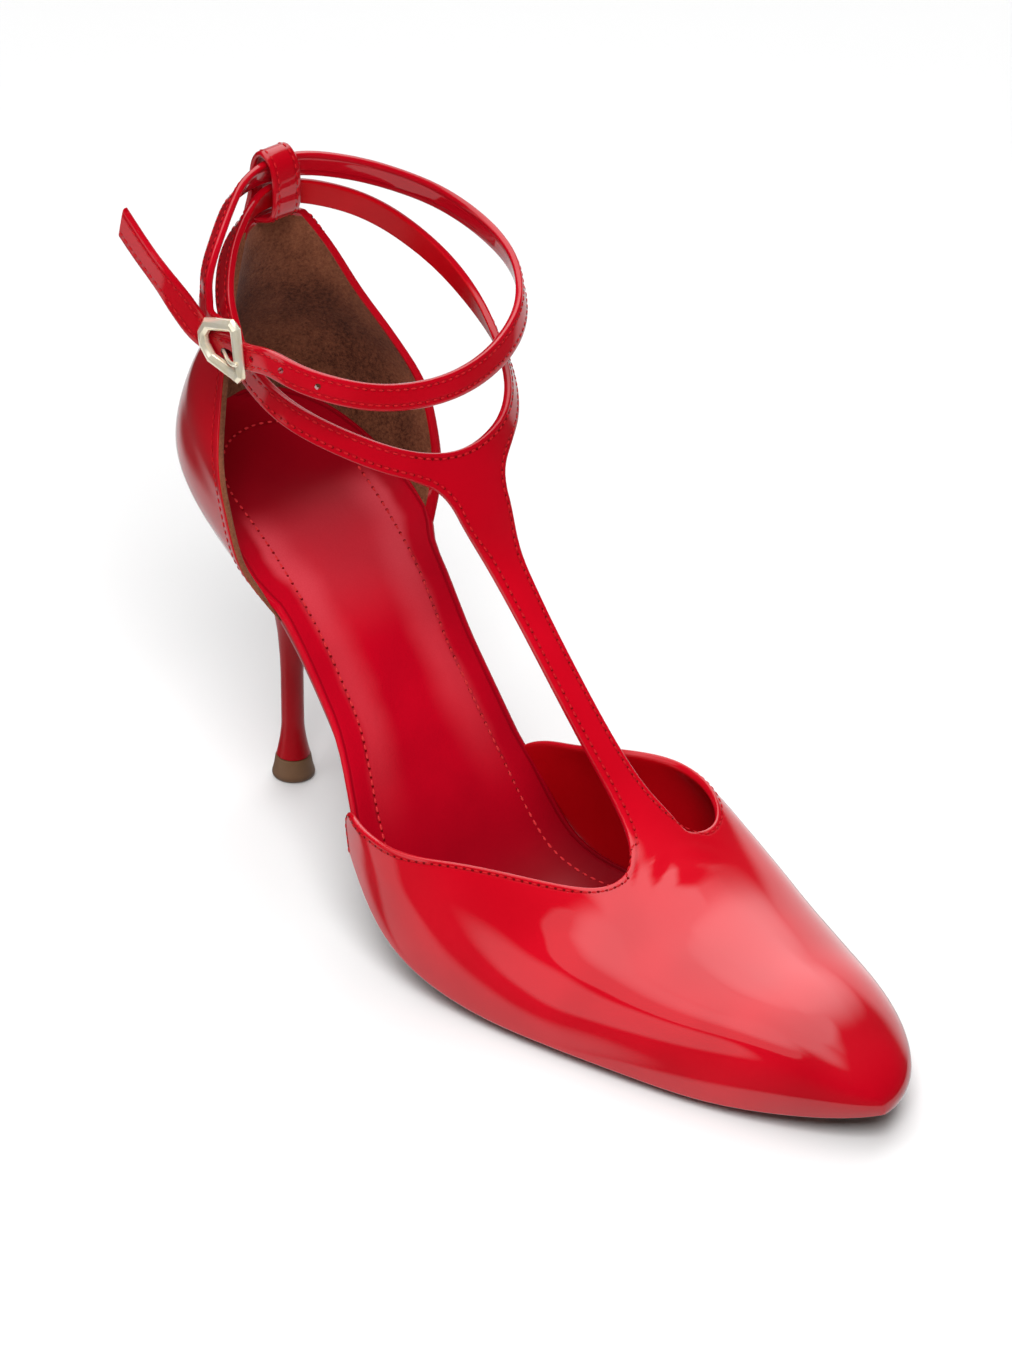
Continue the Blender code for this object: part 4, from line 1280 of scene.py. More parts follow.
def band_frames(path: Points, tangent: Points, middle_u: float, lean: Points) -> tuple[Points, Points]:
    """Width direction and outward normal along a band round the ankle.

    Args:
        path: Points of the band's centre line.
        tangent: Directions of the line.
        middle_u: Middle of the ankle along the shoe.
        lean: Degrees by which the band faces upwards.

    Returns:
        The width directions, which point upwards, and the normals.
    """
    tilt = np.radians(lean)[:, None]
    facing = away_from(path, middle_u) * np.cos(tilt) + np.array([0.0, 0.0, 1.0]) * np.sin(tilt)
    normal = square_to(facing, tangent)
    width = np.cross(tangent, normal)
    return width * np.sign(np.median(width[:, 2])), normal


def trim_rows(rows: Sequence[Row], length: float) -> list[Row]:
    """The same rows without a short start, so that marks fall between the stitches.

    Args:
        rows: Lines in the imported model's frame.
        length: Length to leave out, in millimetres.

    Returns:
        The shortened rows.
    """
    short = []
    for row in rows:
        run = run_of(row.places)
        at = np.linspace(length * MM, run[-1], len(run))
        short.append(Row(at_run(row.places, run, at), at_run(row.lifts, run, at)))
    return short


@dataclass
class Rim:
    """Edge of a sheet: its points, their twins on the other face and neighbours inside the sheet."""

    points: Points
    twins: Points
    inner: Points
    closed: bool = False

    def fine(self, step: float = 0.8) -> Rim:
        """The same edge with points at a small even step."""
        layers = [self.points, self.twins, self.inner]
        if self.closed:
            layers = [np.concatenate([layer, layer[:1]]) for layer in layers]
        run = run_of(layers[0])
        count = int(run[-1] / step)
        smooth = curve_through(layers[0], count)
        at = np.linspace(0, run[-1], count)
        return Rim(smooth, at_run(layers[1], run, at), at_run(layers[2], run, at))

    def row(self, inset: float, axes: Axes, made: Piece) -> Row:
        """Line at a distance from the edge, laid on the finished surface.

        Args:
            inset: Distance from the edge in millimetres.
            axes: Place of the shoe's axes.
            made: Finished sheet.

        Returns:
            The line.
        """
        edge = self.fine()
        out = unit(edge.points - edge.twins)
        toward = square_to(square_to(edge.inner - edge.points, heading(edge.points)), out)
        wanted = axes.to_row(edge.points + toward * inset + out * 0.3)
        tree = surface_of(made)
        found = [tree.find_nearest(p) for p in wanted]
        places = np.array([tuple(hit[0]) for hit in found])
        lifts = np.array([tuple(hit[1]) for hit in found])
        return Row(places + lifts * 0.03 * MM, lifts)


# Sub-assemblies


@dataclass
class Upper:
    """Vamp with its T-bar, the Y head and the sling strap: one sheet of leather and its lining."""

    last: Last
    axes: Axes
    toe_rows: int = 22
    rim_support: float = 1.1
    strap_width: float = 6.0
    head_lean: float = 8.0
    front_lean: float = 25.0
    flank_lean: float = 34.0
    arm_lean: float = 14.0
    head_reach: float = 14.3
    wing_tuck: float = 2.6
    ankle_u: float = 50.0
    outer_top: tuple[Top, ...] = table_of(
        Top, (0.0, 85.0), (0.024, 83.4), (0.042, 84.9), (0.058, 88.8), (0.075, 92.6), (0.10, 99.0),
        (0.14, 107.8), (0.19, 116.3), (0.23, 122.8), (0.27, 130.4), (0.31, 137.2), (0.342, 141.0),
        (0.37, 143.3), (0.40, 144.2), (0.422, 143.7))
    inner_top: tuple[Top, ...] = table_of(
        Top, (0.0, 82.1), (0.03, 86.1), (0.092, 97.2), (0.18, 114.5), (0.25, 127.0), (0.29, 135.0),
        (0.32, 139.4), (0.345, 141.8), (0.37, 143.2), (0.395, 143.8), (0.42, 143.5), (0.437, 143.2))
    outer_shares: tuple[float, ...] = (
        0.0, 0.008, 0.022, 0.045, 0.06, 0.08, 0.105, 0.14, 0.18, 0.22, 0.26, 0.30, 0.335, 0.36, 0.387)
    inner_shares: tuple[float, ...] = (
        0.0, 0.008, 0.022, 0.05, 0.08, 0.115, 0.155, 0.20, 0.24, 0.275, 0.305, 0.333, 0.36, 0.392)
    across: tuple[float, ...] = (1.0, 0.86, 0.6, 0.3, 0.0, -0.3, -0.6, -0.86, -1.0)
    ladder: tuple[float, ...] = (-1.0, -0.8, -0.35, 0.35, 0.8, 1.0)
    t_bar: tuple[Bar, ...] = table_of(
        Bar, (139.0, -7.2, 41.0, 6.6, 26.0), (134.0, -6.9, 44.8, 4.9, 26.0),
        (128.6, -6.4, 49.6, 4.2, 26.0), (121.0, -5.7, 57.5, 3.95, 26.0), (113.0, -4.8, 67.2, 3.9, 26.0),
        (105.0, -3.9, 77.2, 3.9, 26.0), (98.6, -3.1, 85.8, 4.3, 23.0), (94.2, -2.4, 92.2, 4.8, 19.0))
    flare: tuple[Flare, ...] = table_of(
        Flare, (10.4, 5.2), (7.0, 6.0), (4.2, 7.3), (2.2, 9.1), (0.9, 11.5))
    y_head: tuple[Point, ...] = table_of(
        Point, (58.6, 26.5, 121.4), (64.6, 23.0, 118.7), (70.4, 18.8, 116.2), (76.6, 12.6, 113.3),
        (80.9, 5.4, 111.3), (82.4, -1.0, 110.7), (82.0, -8.0, 111.4), (79.5, -15.2, 113.4),
        (75.0, -21.0, 116.2), (68.0, -26.0, 119.2), (60.2, -29.5, 122.3))
    sling: tuple[Point, ...] = table_of(
        Point, (58.6, 26.5, 121.4), (53.0, 28.3, 123.8), (48.0, 29.3, 126.6), (42.6, 29.9, 131.0),
        (38.4, 28.9, 136.0), (34.0, 27.2, 140.4), (29.2, 23.4, 144.4), (24.0, 17.4, 148.0),
        (20.2, 10.4, 150.7), (18.3, 4.5, 152.2), (18.0, 0.0, 152.4), (18.8, -5.0, 151.9),
        (21.2, -10.5, 150.3), (25.0, -16.2, 147.9), (29.4, -22.0, 144.0), (35.0, -26.8, 139.0),
        (41.0, -29.8, 134.2), (47.5, -31.2, 129.4), (54.0, -31.0, 125.4), (60.2, -29.5, 122.3))
    creases: tuple[Crease, ...] = table_of(
        Crease, (148.5, -2.0, 62.0, 4.0, 1.2, 0.20), (149.5, -12.5, 112.0, 4.5, 1.3, 0.20),
        (146.5, 4.0, 48.0, 3.4, 1.0, 0.16), (147.5, -17.5, 128.0, 3.4, 1.0, 0.16),
        (153.5, -6.0, 85.0, 5.5, 1.8, 0.12))
    outside: list[Points] = field(default_factory=list)
    inside: list[Points] = field(default_factory=list)
    faces: list[list[int]] = field(default_factory=list)
    columns: int = 0
    edge_up: list[tuple[int, int]] = field(default_factory=list)
    edge_down: list[tuple[int, int]] = field(default_factory=list)
    edge_top: list[tuple[int, int]] = field(default_factory=list)

    def _put(self, outside: Any, inside: Any) -> list[int]:
        """Add points to both faces of the sheet and return their numbers."""
        start = len(self.outside)
        self.outside += list(outside)
        self.inside += list(inside)
        return list(range(start, len(self.outside)))

    def _join(self, upper: Sequence[int], lower: Sequence[int]) -> None:
        """Faces between two rows of the sheet."""
        self.faces += [[upper[j], upper[j + 1], lower[j + 1], lower[j]] for j in range(len(upper) - 1)]

    def _vamp(self) -> list[int]:
        """Lay the vamp from its topline to the toe and return the row that the T-bar grows from."""
        last = self.last
        first = self.outer_top[-1]
        end = self.inner_top[-1]
        part = (1 - np.array(self.across)) / 2
        shares = list(self.outer_shares) + list(first.share + (1 - end.share - first.share) * part)
        shares += [1 - s for s in reversed(self.inner_shares)]
        tops = list(along(self.outer_top, "u", self.outer_shares)) + list(first.u + (end.u - first.u) * part)
        tops += list(along(self.inner_top, "u", self.inner_shares[::-1]))
        shares = np.array(shares)
        tops = np.array(tops)
        self.columns = len(shares)
        spread = 1 - (1 - np.linspace(0, 1, self.toe_rows + 1)) ** 1.8
        layers = []
        for grow in (last.fit_gap + last.wall, last.fit_gap):
            near = tops + self.rim_support
            rows = near[None, :] + (last.insole_length + grow - near[None, :]) * spread[:, None]
            rows = np.concatenate([tops[None, :], rows])
            grid = last.vamp_point(rows, np.repeat(shares[None, :], len(rows), axis=0), grow)
            wing = held((97.0 - rows) / 15.0) ** 2 * (shares[None, :] > 0.5)
            grid[..., 1] += self.wing_tuck * wing
            tip = np.append(grid[-1, :, :2].mean(axis=0), grid[-1, :, 2].min())
            layers.append(np.concatenate([grid[:-1].reshape(-1, 3), tip[None, :]]))
        numbers = self._put(*layers)
        for i in range(self.toe_rows):
            start = i * self.columns
            middle = start + self.columns
            self._join(numbers[start:middle], numbers[middle:middle + self.columns])
        brink = numbers[self.toe_rows * self.columns:-1]
        self.faces += [[brink[j], brink[j + 1], numbers[-1]] for j in range(self.columns - 1)]
        bar = len(self.outer_shares)
        return numbers[bar:bar + len(self.across)]

    def _bar_rows(self, previous: list[int]) -> list[list[int]]:
        """Lay the rows of the T-bar from its root upwards."""
        root = np.array([self.outside[i] for i in previous])
        middle = len(self.across) // 2
        inward = self.inside[previous[middle]] - root[middle]
        spine = np.array([[b.u, b.height] for b in self.t_bar])
        spine = np.concatenate([[[143.5, 38.5]], spine, [[90.3, 98.0]]])
        slopes = unit(np.gradient(spine, axis=0)[1:-1])
        laid = []
        for step, (row, slope) in enumerate(zip(self.t_bar, slopes)):
            offset = np.array(self.across) * row.half_width
            normal = np.array([-slope[1], 0.0, slope[0]])
            normal = normal * np.sign(normal[2])
            base = np.array([row.u, row.v, row.height]) + offset[:, None] * np.array([0.0, 1.0, 0.0])
            spots = base - normal * (offset ** 2 / (2 * row.round))[:, None]
            blend = (0.55, 0.15)[step] if step < 2 else 0.0
            from_root = root + (base[middle] - root[middle])
            from_root[:, 1] = spots[:, 1]
            spots = spots * (1 - blend) + from_root * blend
            depth = -normal * self.last.wall * (1 - blend) + inward * blend
            laid.append(self._put(spots, spots + depth))
        return laid

    def _band(self, previous: list[int]) -> None:
        """Lay the flare of the T-bar and the closed band of Y head and sling strap."""
        lap = closed_curve(list(self.y_head[:-1]) + list(self.sling[::-1][:-1]), 841)[:-1]
        front = bump(lap[:, 1], 0.0, 17.0) * held((lap[:, 0] - 45.0) / 15.0)
        flank = bump(lap[:, 0], 24.0, 15.0) * held(lap[:, 1] / 14.0)
        arm = bump(lap[:, 0], 62.0, 12.0)
        lean = self.head_lean + self.front_lean * front + self.flank_lean * flank + self.arm_lean * arm
        tangent = unit(np.roll(lap, -1, axis=0) - np.roll(lap, 1, axis=0))
        width, normal = band_frames(lap, tangent, self.ankle_u, lean)
        half = self.strap_width / 2 + 0.3 * front
        lower = lap - width * half[:, None] + normal * self.last.wall / 2
        front_part = lap[:, 0] > self.ankle_u
        centre = int(np.argmin(np.abs(lap[:, 1] + 1.8) + 1e3 * ~front_part))
        parts = (lap, width, normal, lower, half[:, None])
        lap, width, normal, lower, half = (np.roll(part, len(lap) // 2 - centre, axis=0) for part in parts)
        rim_run = run_of(lower)
        rim_run = rim_run - rim_run[len(lap) // 2]
        up_edge = [(previous[0], previous[1])]
        down_edge = [(previous[-1], previous[-2])]
        for row in self.flare:
            at = -np.array(self.across) * row.half_width
            down = unit(at_run(width, rim_run, at))
            out = unit(at_run(normal, rim_run, at))
            spots = at_run(lower, rim_run, at) - down * row.below
            current = self._put(spots, spots - out * self.last.wall)
            self._join(current, previous)
            up_edge.append((current[0], current[1]))
            down_edge.append((current[-1], current[-2]))
            previous = current
        run = run_of(lap)
        run = run - run[len(lap) // 2]
        whole = run[-1] - run[0] + np.linalg.norm(lap[0] - lap[-1])
        rest = np.linspace(self.head_reach, whole - self.head_reach, 84)[1:-1]
        rest = np.where(rest > run[-1], rest - whole, rest)
        rungs = []
        for at in list(-np.array(self.across) * self.head_reach) + list(rest):
            p, w, n, h = (at_run(part, run, at) for part in (lap, width, normal, half))
            rung = p + unit(w) * (np.array(self.ladder)[:, None] * h)
            deep = unit(n) * self.last.wall / 2
            rungs.append(self._put(rung + deep, rung - deep))
        for a, b in zip(rungs, rungs[1:] + rungs[:1]):
            self._join(a, b)
        attach = [rung[0] for rung in rungs[:len(self.across)]]
        self._join(attach, previous)
        behind = [(rung[0], rung[1]) for rung in rungs[len(self.across):]]
        self.edge_down = down_edge[::-1]
        self.edge_up = up_edge + behind[::-1]
        self.edge_top = [(rung[-1], rung[-2]) for rung in rungs]

    def _rim(self, pairs: Sequence[tuple[int, int]], closed: bool = False) -> Rim:
        """Edge of the sheet along pairs of an edge point and its neighbour inside."""
        edge = [a for a, _ in pairs]
        outside = np.array(self.outside)
        return Rim(outside[edge], np.array(self.inside)[edge], outside[[b for _, b in pairs]], closed)

    def build(self, finishes: Finishes, sewing: Sewing) -> None:
        """Build the sheet, its creases and its stitches."""
        root = self._vamp()
        rows = self._bar_rows(root)
        for lower, upper in zip([root] + rows, rows):
            self._join(upper, lower)
        self._band(rows[-1])
        bar = len(self.outer_shares)
        end = bar + len(self.across)
        path = [(j, self.columns + j) for j in range(bar)]
        path += [(row[0], row[1]) for row in rows[:-1]] + self.edge_up
        path += self.edge_down + [(row[-1], row[-2]) for row in reversed(rows[:-1])]
        path += [(j, self.columns + j) for j in range(end, self.columns)]
        rims = [self._rim(path), self._rim(self.edge_top, closed=True)]
        draft = Draft("upper")
        draft.shell(np.array(self.outside), np.array(self.inside), self.faces)
        made = draft.make(self.axes, [finishes.patent, finishes.lining], levels=2)
        self._crease(made)
        fine = [rim.fine(0.6) for rim in rims]
        rim_points = np.concatenate([p for rim in fine for p in (rim.points, rim.twins)])
        mark_edge(made, self.axes.to_row(rim_points))
        stitched = [rim.row(1.35, self.axes, made) for rim in rims]
        place(made, Slot.PATENT, "vamp", "sling_strap")
        sewing.seam("upper", stitched, finishes, 3)

    def _crease(self, made: Piece) -> None:
        """Press the small creases into the leather at the root of the T-bar."""
        points = read_points(made.data)
        shoe = self.axes.to_shoe(points)
        facing = np.array([v.normal.z for v in made.data.vertices])
        depth = np.zeros(len(points))
        for crease in self.creases:
            turn = math.radians(crease.turn)
            du = shoe[:, 0] - crease.u
            dv = shoe[:, 1] - crease.v
            long = du * math.cos(turn) + dv * math.sin(turn)
            wide = dv * math.cos(turn) - du * math.sin(turn)
            off = wide / crease.wide
            fold = bump(off, 0.0, 1.0) - 0.6 * bump(off, 1.6, 1.0)
            depth += crease.deep * fold * bump(long, 0.0, crease.long)
        points[:, 2] -= depth * held(facing) * MM
        made.data.vertices.foreach_set("co", points.ravel())
        made.data.update()


@dataclass
class Counter:
    """Heel cup: patent outside, suede inside, with a turned red edge."""

    last: Last
    axes: Axes
    wall: float = 2.0
    turns: int = 35
    support: float = 0.012
    inset: float = 2.2
    outer_taper: float = 4.5
    inner_taper: float = 1.5
    sink: float = 1.2
    roll: float = 1.6
    roll_height: float = 5.0
    roll_turn: float = 0.78
    roll_span: float = 0.17
    taper_top: float = 4.0
    taper_run: float = 7.2
    taper_turn: float = 0.72
    taper_span: float = 0.28

    def _tapered(self, turn: Points, rise: Points, grow: float) -> Points:
        """Points of the cup whose lower corners run out forwards along the sole's edge."""
        spots = self.last.cup_point(turn, rise, grow)
        low = held((self.taper_top - rise) / self.taper_run) ** 1.5
        fore = held((np.abs(turn) - self.taper_turn) / self.taper_span) ** 2
        reach = low * fore
        u = spots[..., 0] + np.where(turn > 0, self.outer_taper, self.inner_taper) * reach
        hug = 0.4 * (grow - self.last.fit_gap) - self.last.edge_gap - self.sink * reach ** 2
        outer = self.last.half_width(u, Side.OUTER, hug)
        inner = self.last.half_width(u, Side.INNER, hug)
        edge = np.where(turn > 0, outer, -inner)
        v = spots[..., 1] * (1 - reach) + edge * reach
        return np.stack([u, v, self.last.bed_height(np.clip(u, 0, None)) + rise], axis=-1)

    def build(self, finishes: Finishes, sewing: Sewing) -> None:
        """Build the cup and its stitches."""
        turns = np.linspace(-1 + self.support, 1 - self.support, self.turns)
        turns = np.concatenate([[-1.0], turns, [1.0]])
        low = self.last.cup[0].rise
        high = self.last.cup[-1].rise
        rises = [low, low + 1.0, low + 2.4, low + 4.2, low + 6.4]
        rises += list(np.linspace(6.5, high - 0.7, 12)) + [high]
        turn, rise = np.meshgrid(turns, rises)
        gap = self.last.fit_gap
        under = held(1 - (rise - low) / self.roll_height) ** 2
        under *= 1 - held((np.abs(turn) - self.roll_turn) / self.roll_span)
        outside = self._tapered(turn, rise, gap + self.wall - self.roll * under)
        inside = self._tapered(turn, rise, gap)
        wide = len(turns)
        tall = len(rises)
        corners = [i * wide + j for i in range(tall - 1) for j in range(wide - 1)]
        faces = [[i, i + 1, i + wide + 1, i + wide] for i in corners]
        draft = Draft("counter_dressed")
        draft.shell(outside.reshape(-1, 3), inside.reshape(-1, 3), faces)
        count = wide * tall
        for number, face in enumerate(draft.faces):
            if draft.marks[number] == 1:
                spots = [i - count for i in face]
                on_rim = any(i % wide == 0 or i // wide == tall - 1 for i in spots)
                draft.marks[number] = 0 if on_rim else 1
            elif all(i % wide == wide - 1 for i in face):
                draft.marks[number] = 1
        made = draft.make(self.axes, [finishes.counter, finishes.suede], levels=2)
        edge = [(i, 0) for i in range(1, tall)] + [(tall - 1, j) for j in range(1, wide - 1)]
        edge += [(i, wide - 1) for i in range(tall - 1, 0, -1)]
        inner = [(min(i, tall - 2), min(max(j, 1), wide - 2)) for i, j in edge]
        at = tuple(np.array(edge).T)
        rim = Rim(outside[at], inside[at], outside[tuple(np.array(inner).T)])
        fine = rim.fine(0.6)
        mark_edge(made, self.axes.to_row(np.concatenate([fine.points, fine.twins])))
        row = rim.row(self.inset, self.axes, made)
        place(made, Slot.PATENT, "counter")
        sewing.seam("counter", [row], finishes, 5)


@dataclass
class Sole:
    """Insole with its stitched line and the outsole under it."""

    last: Last
    axes: Axes
    outsole_thick: float = 2.2
    round_edge: float = 1.3
    dish: float = 2.0
    inset: float = 7.2
    row_start: float = 198.0
    row_turn: float = 24.0

    def _slab(self, us: Points, outer: Points, inner: Points, top: Callable[[Points], Points],
              thick: float, edge: float, dish: float, tuck: float) -> list[Points]:
        """Rings across the shoe with rounded edges.

        Args:
            us: Places of the rings.
            outer: Half widths on the outer side.
            inner: Half widths on the inner side.
            top: Height of the upper face.
            thick: Thickness.
            edge: Radius of the upper edges.
            dish: Hollow of the upper face.
            tuck: How far the lower edges are set in.

        Returns:
            The rings.
        """
        steps = np.array([0.0, 0.08, 0.3, 0.65, 1.0, 2.6, 5.5])
        rings = []
        for u, out, into, height in zip(us, outer, inner, top(us)):
            span = (out + into) / 2
            scale = min(1.0, span / (7.0 * edge))
            inset = steps * edge * scale
            drop = edge * (1 - np.sqrt(held(1 - held(1 - steps) ** 2)))
            inner_run = np.linspace(out - inset[-1], -into + inset[-1], 11)[1:-1]
            across = np.concatenate([out - inset, inner_run, (-into + inset)[::-1]])
            share = held(np.abs(across - (out - into) / 2) / (span - edge * scale))
            hollow = dish * min(1.0, span / 12.0) * (1 - share ** 2)
            level = height - np.concatenate([drop, 0 * inner_run, drop[::-1]]) - hollow
            middle = min(4.0, 0.6 * span)
            insets = [tuck * scale, (tuck + 0.25) * scale, (tuck + 0.7) * scale, middle]
            levels = [height - thick * 0.78, height - thick + 0.1, height - thick, height - thick]
            under = [[-into + inset, low] for inset, low in zip(insets, levels)]
            under += [[out - inset, low] for inset, low in zip(insets[::-1], levels[::-1])]
            section = np.concatenate([np.stack([across, level], axis=1), under])
            rings.append(np.column_stack([np.full(len(section), u), section]))
        return rings

    def _stations(self, start: float, end: float, back: float, fore: float, count: int) -> Points:
        """Places along the shoe, closer together at the rounded ends."""
        t = np.linspace(0, 1, count)
        middle = np.linspace(start + back, end - fore, count * 2)
        head = start + back * t ** 2
        toe = end - fore * (1 - t) ** 2
        return np.concatenate([head[:-1], middle, toe[1:]])

    def build(self, finishes: Finishes, sewing: Sewing) -> None:
        """Build both soles and the stitched line."""
        last = self.last
        gap = last.edge_gap
        heel_end = float(last.cup_point(0.0, 0.0, last.fit_gap)[0])
        us = self._stations(heel_end + 0.08, last.insole_length - gap - last.toe_short - 0.02, 26.0, 40.0, 26)
        outer, inner = (last.inner_width(us, side) for side in (Side.OUTER, Side.INNER))
        rings = self._slab(us, outer, inner, last.bed_height, last.insole_thick, self.round_edge,
                           self.dish, 0.9)
        insole = tube("insole_dressed", rings, self.axes, finishes.insole)
        row = self._row(insole)
        mark_edge(insole, row.places)
        fine = np.linspace(us[0], us[-1], 420)
        sides = [np.stack([fine, side.value * last.inner_width(fine, side), last.bed_height(fine)], axis=1)
                 for side in Side]
        mark_edge(insole, self.axes.to_row(np.concatenate(sides)), "welt")
        place(insole, Slot.INSOLE, "insole")
        sewing.sew("insole_stitches", [row], INSOLE_SEAM, finishes.insole_thread, Slot.INSOLE, 7)
        # Painted shade: dark beads for the stitch holes between the stitches.
        between = trim_rows([row], INSOLE_SEAM.pitch / 2)
        sewing.sew("insole_pinholes", between, INSOLE_HOLE, finishes.pinhole, Slot.INSOLE, 8)

        floor_gap = last.insole_thick + last.fit_gap
        us = self._stations(46.0, last.insole_length - 0.82, 6.0, 50.0, 30)
        tuck = np.interp(us, [205.0, 216.0], [-1.7, -0.8])
        outer, inner = (last.half_width(us, side, tuck, 0.0) for side in (Side.OUTER, Side.INNER))
        rings = self._slab(us, outer, inner, lambda u: last.bed_height(u) - floor_gap,
                           self.outsole_thick, 0.5, 0.0, 0.0)
        outsole = tube("outsole_dressed", rings, self.axes, finishes.outsole)
        half = floor_gap + self.outsole_thick / 2
        sides = [np.stack([us, wide, last.bed_height(us) - half], axis=1) for wide in (outer, -inner)]
        mark_edge(outsole, self.axes.to_row(np.concatenate(sides)))
        place(outsole, Slot.OUTSOLE, "outsole")

    def _row(self, insole: Piece) -> Row:
        """Stitched line inside the insole's edge, from under the vamp round the heel and back."""
        us = np.linspace(self.row_start, self.row_turn, 160)
        seat = np.linspace(0, np.pi, 60)[1:-1]
        sides = []
        for side in (Side.OUTER, Side.INNER):
            wide = self.last.half_width(us, side, -self.last.edge_gap, self.last.toe_short) - self.inset
            sides.append(np.stack([us, side.value * wide], axis=1))
        outer, inner = sides
        reach = self.row_turn - self.inset
        half = (outer[-1, 1] - inner[-1, 1]) / 2
        turn = np.stack([self.row_turn - reach * np.sin(seat), np.cos(seat) * half], axis=1)
        plan = np.concatenate([outer, turn, inner[::-1]])
        line = np.column_stack([plan, self.last.bed_height(plan[:, 0]) + 4.0])
        tree = surface_of(insole)
        hits = [tree.ray_cast(Vector(p), Vector((0.0, 0.0, -1.0))) for p in self.axes.to_row(line)]
        hits = [hit for hit in hits if hit[0] is not None]
        lifts = np.array([tuple(hit[1]) for hit in hits])
        return Row(np.array([tuple(hit[0]) for hit in hits]) + lifts * 0.02 * MM, lifts)


@dataclass
class Heel:
    """Covered heel and its top piece."""

    last: Last
    axes: Axes
    centre_u: float = 21.6
    rows: int = 66
    around: int = 56
    shaft: tuple[HeelRow, ...] = table_of(
        HeelRow, (78.0, 0.50, -0.6, 34.0, 43.6, 25.3, 2.5), (73.5, 0.50, 2.6, 31.0, 41.6, 19.5, 2.4),
        (68.0, 0.48, 5.6, 27.5, 38.4, 14.2, 2.2), (61.5, 0.42, 9.6, 25.0, 34.4, 9.8, 2.1),
        (54.0, 0.32, 13.6, 23.4, 30.2, 6.6, 2.0), (46.0, 0.18, 16.6, 22.4, 27.0, 4.4, 2.0),
        (37.0, 0.06, 18.3, 21.8, 25.0, 3.1, 2.0), (27.0, 0.0, 18.9, 21.6, 24.3, 2.7, 2.0),
        (15.0, 0.0, 18.9, 21.6, 24.3, 2.7, 2.0), (11.0, 0.0, 18.6, 21.6, 24.6, 3.0, 2.0),
        (8.0, 0.0, 18.1, 21.6, 25.1, 3.5, 2.0), (5.6, 0.0, 17.6, 21.6, 25.6, 4.0, 2.0))
    top_piece: tuple[Disc, ...] = table_of(
        Disc, (5.3, 3.9), (5.2, 4.15), (4.9, 4.25), (2.6, 4.6), (1.0, 5.02), (0.6, 5.08), (0.2, 5.02),
        (0.0, 4.85))

    def _ring(self, row: HeelRow, depth: float) -> Points:
        """One ring of the heel, bent to the sole near its top.

        Args:
            row: Sizes of the ring.
            depth: 0 at the top ring and growing downwards.

        Returns:
            The ring.
        """
        angle = np.linspace(0, 2 * np.pi, self.around, endpoint=False)
        power = 2 / row.square
        c = np.sign(np.cos(angle)) * np.abs(np.cos(angle)) ** power
        s = np.sign(np.sin(angle)) * np.abs(np.sin(angle)) ** power
        u = row.mid_u + np.where(c > 0, (row.front_u - row.mid_u) * c, (row.mid_u - row.back_u) * c)
        level = row.level - row.fall * (u - (row.front_u + row.back_u) / 2)
        under = self.last.bed_height(np.clip(u, 0, None)) - self.last.insole_thick - self.last.fit_gap
        near = held(1 - depth) ** 2
        level = near * under + (1 - near) * np.minimum(level, under - 2.0 * min(depth, 1.0))
        return np.stack([u, row.half_width * s, level], axis=1)

    def build(self, finishes: Finishes) -> None:
        """Build the heel and the top piece."""
        index = np.arange(len(self.shaft))
        rings = []
        for depth in np.linspace(0, index[-1], self.rows):
            sizes = [float(monotone(index, sizes, depth)) for sizes in zip(*self.shaft)]
            rings.append(self._ring(HeelRow(*sizes), float(depth)))
        heel = tube("heel_dressed", rings, self.axes, finishes.heel)
        sharpen(heel, 50.0)
        place(heel, Slot.HEEL, "heel")
        discs = [ring(self.around, (disc.radius, 0.0, 0.0), (0.0, disc.radius, 0.0))
                 + [self.centre_u, 0.0, disc.level] for disc in self.top_piece]
        tap = tube("heel_top_piece_dressed", discs, self.axes, finishes.top_piece)
        sharpen(tap, 60.0)
        place(tap, Slot.TOP_PIECE, "heel_top_piece")


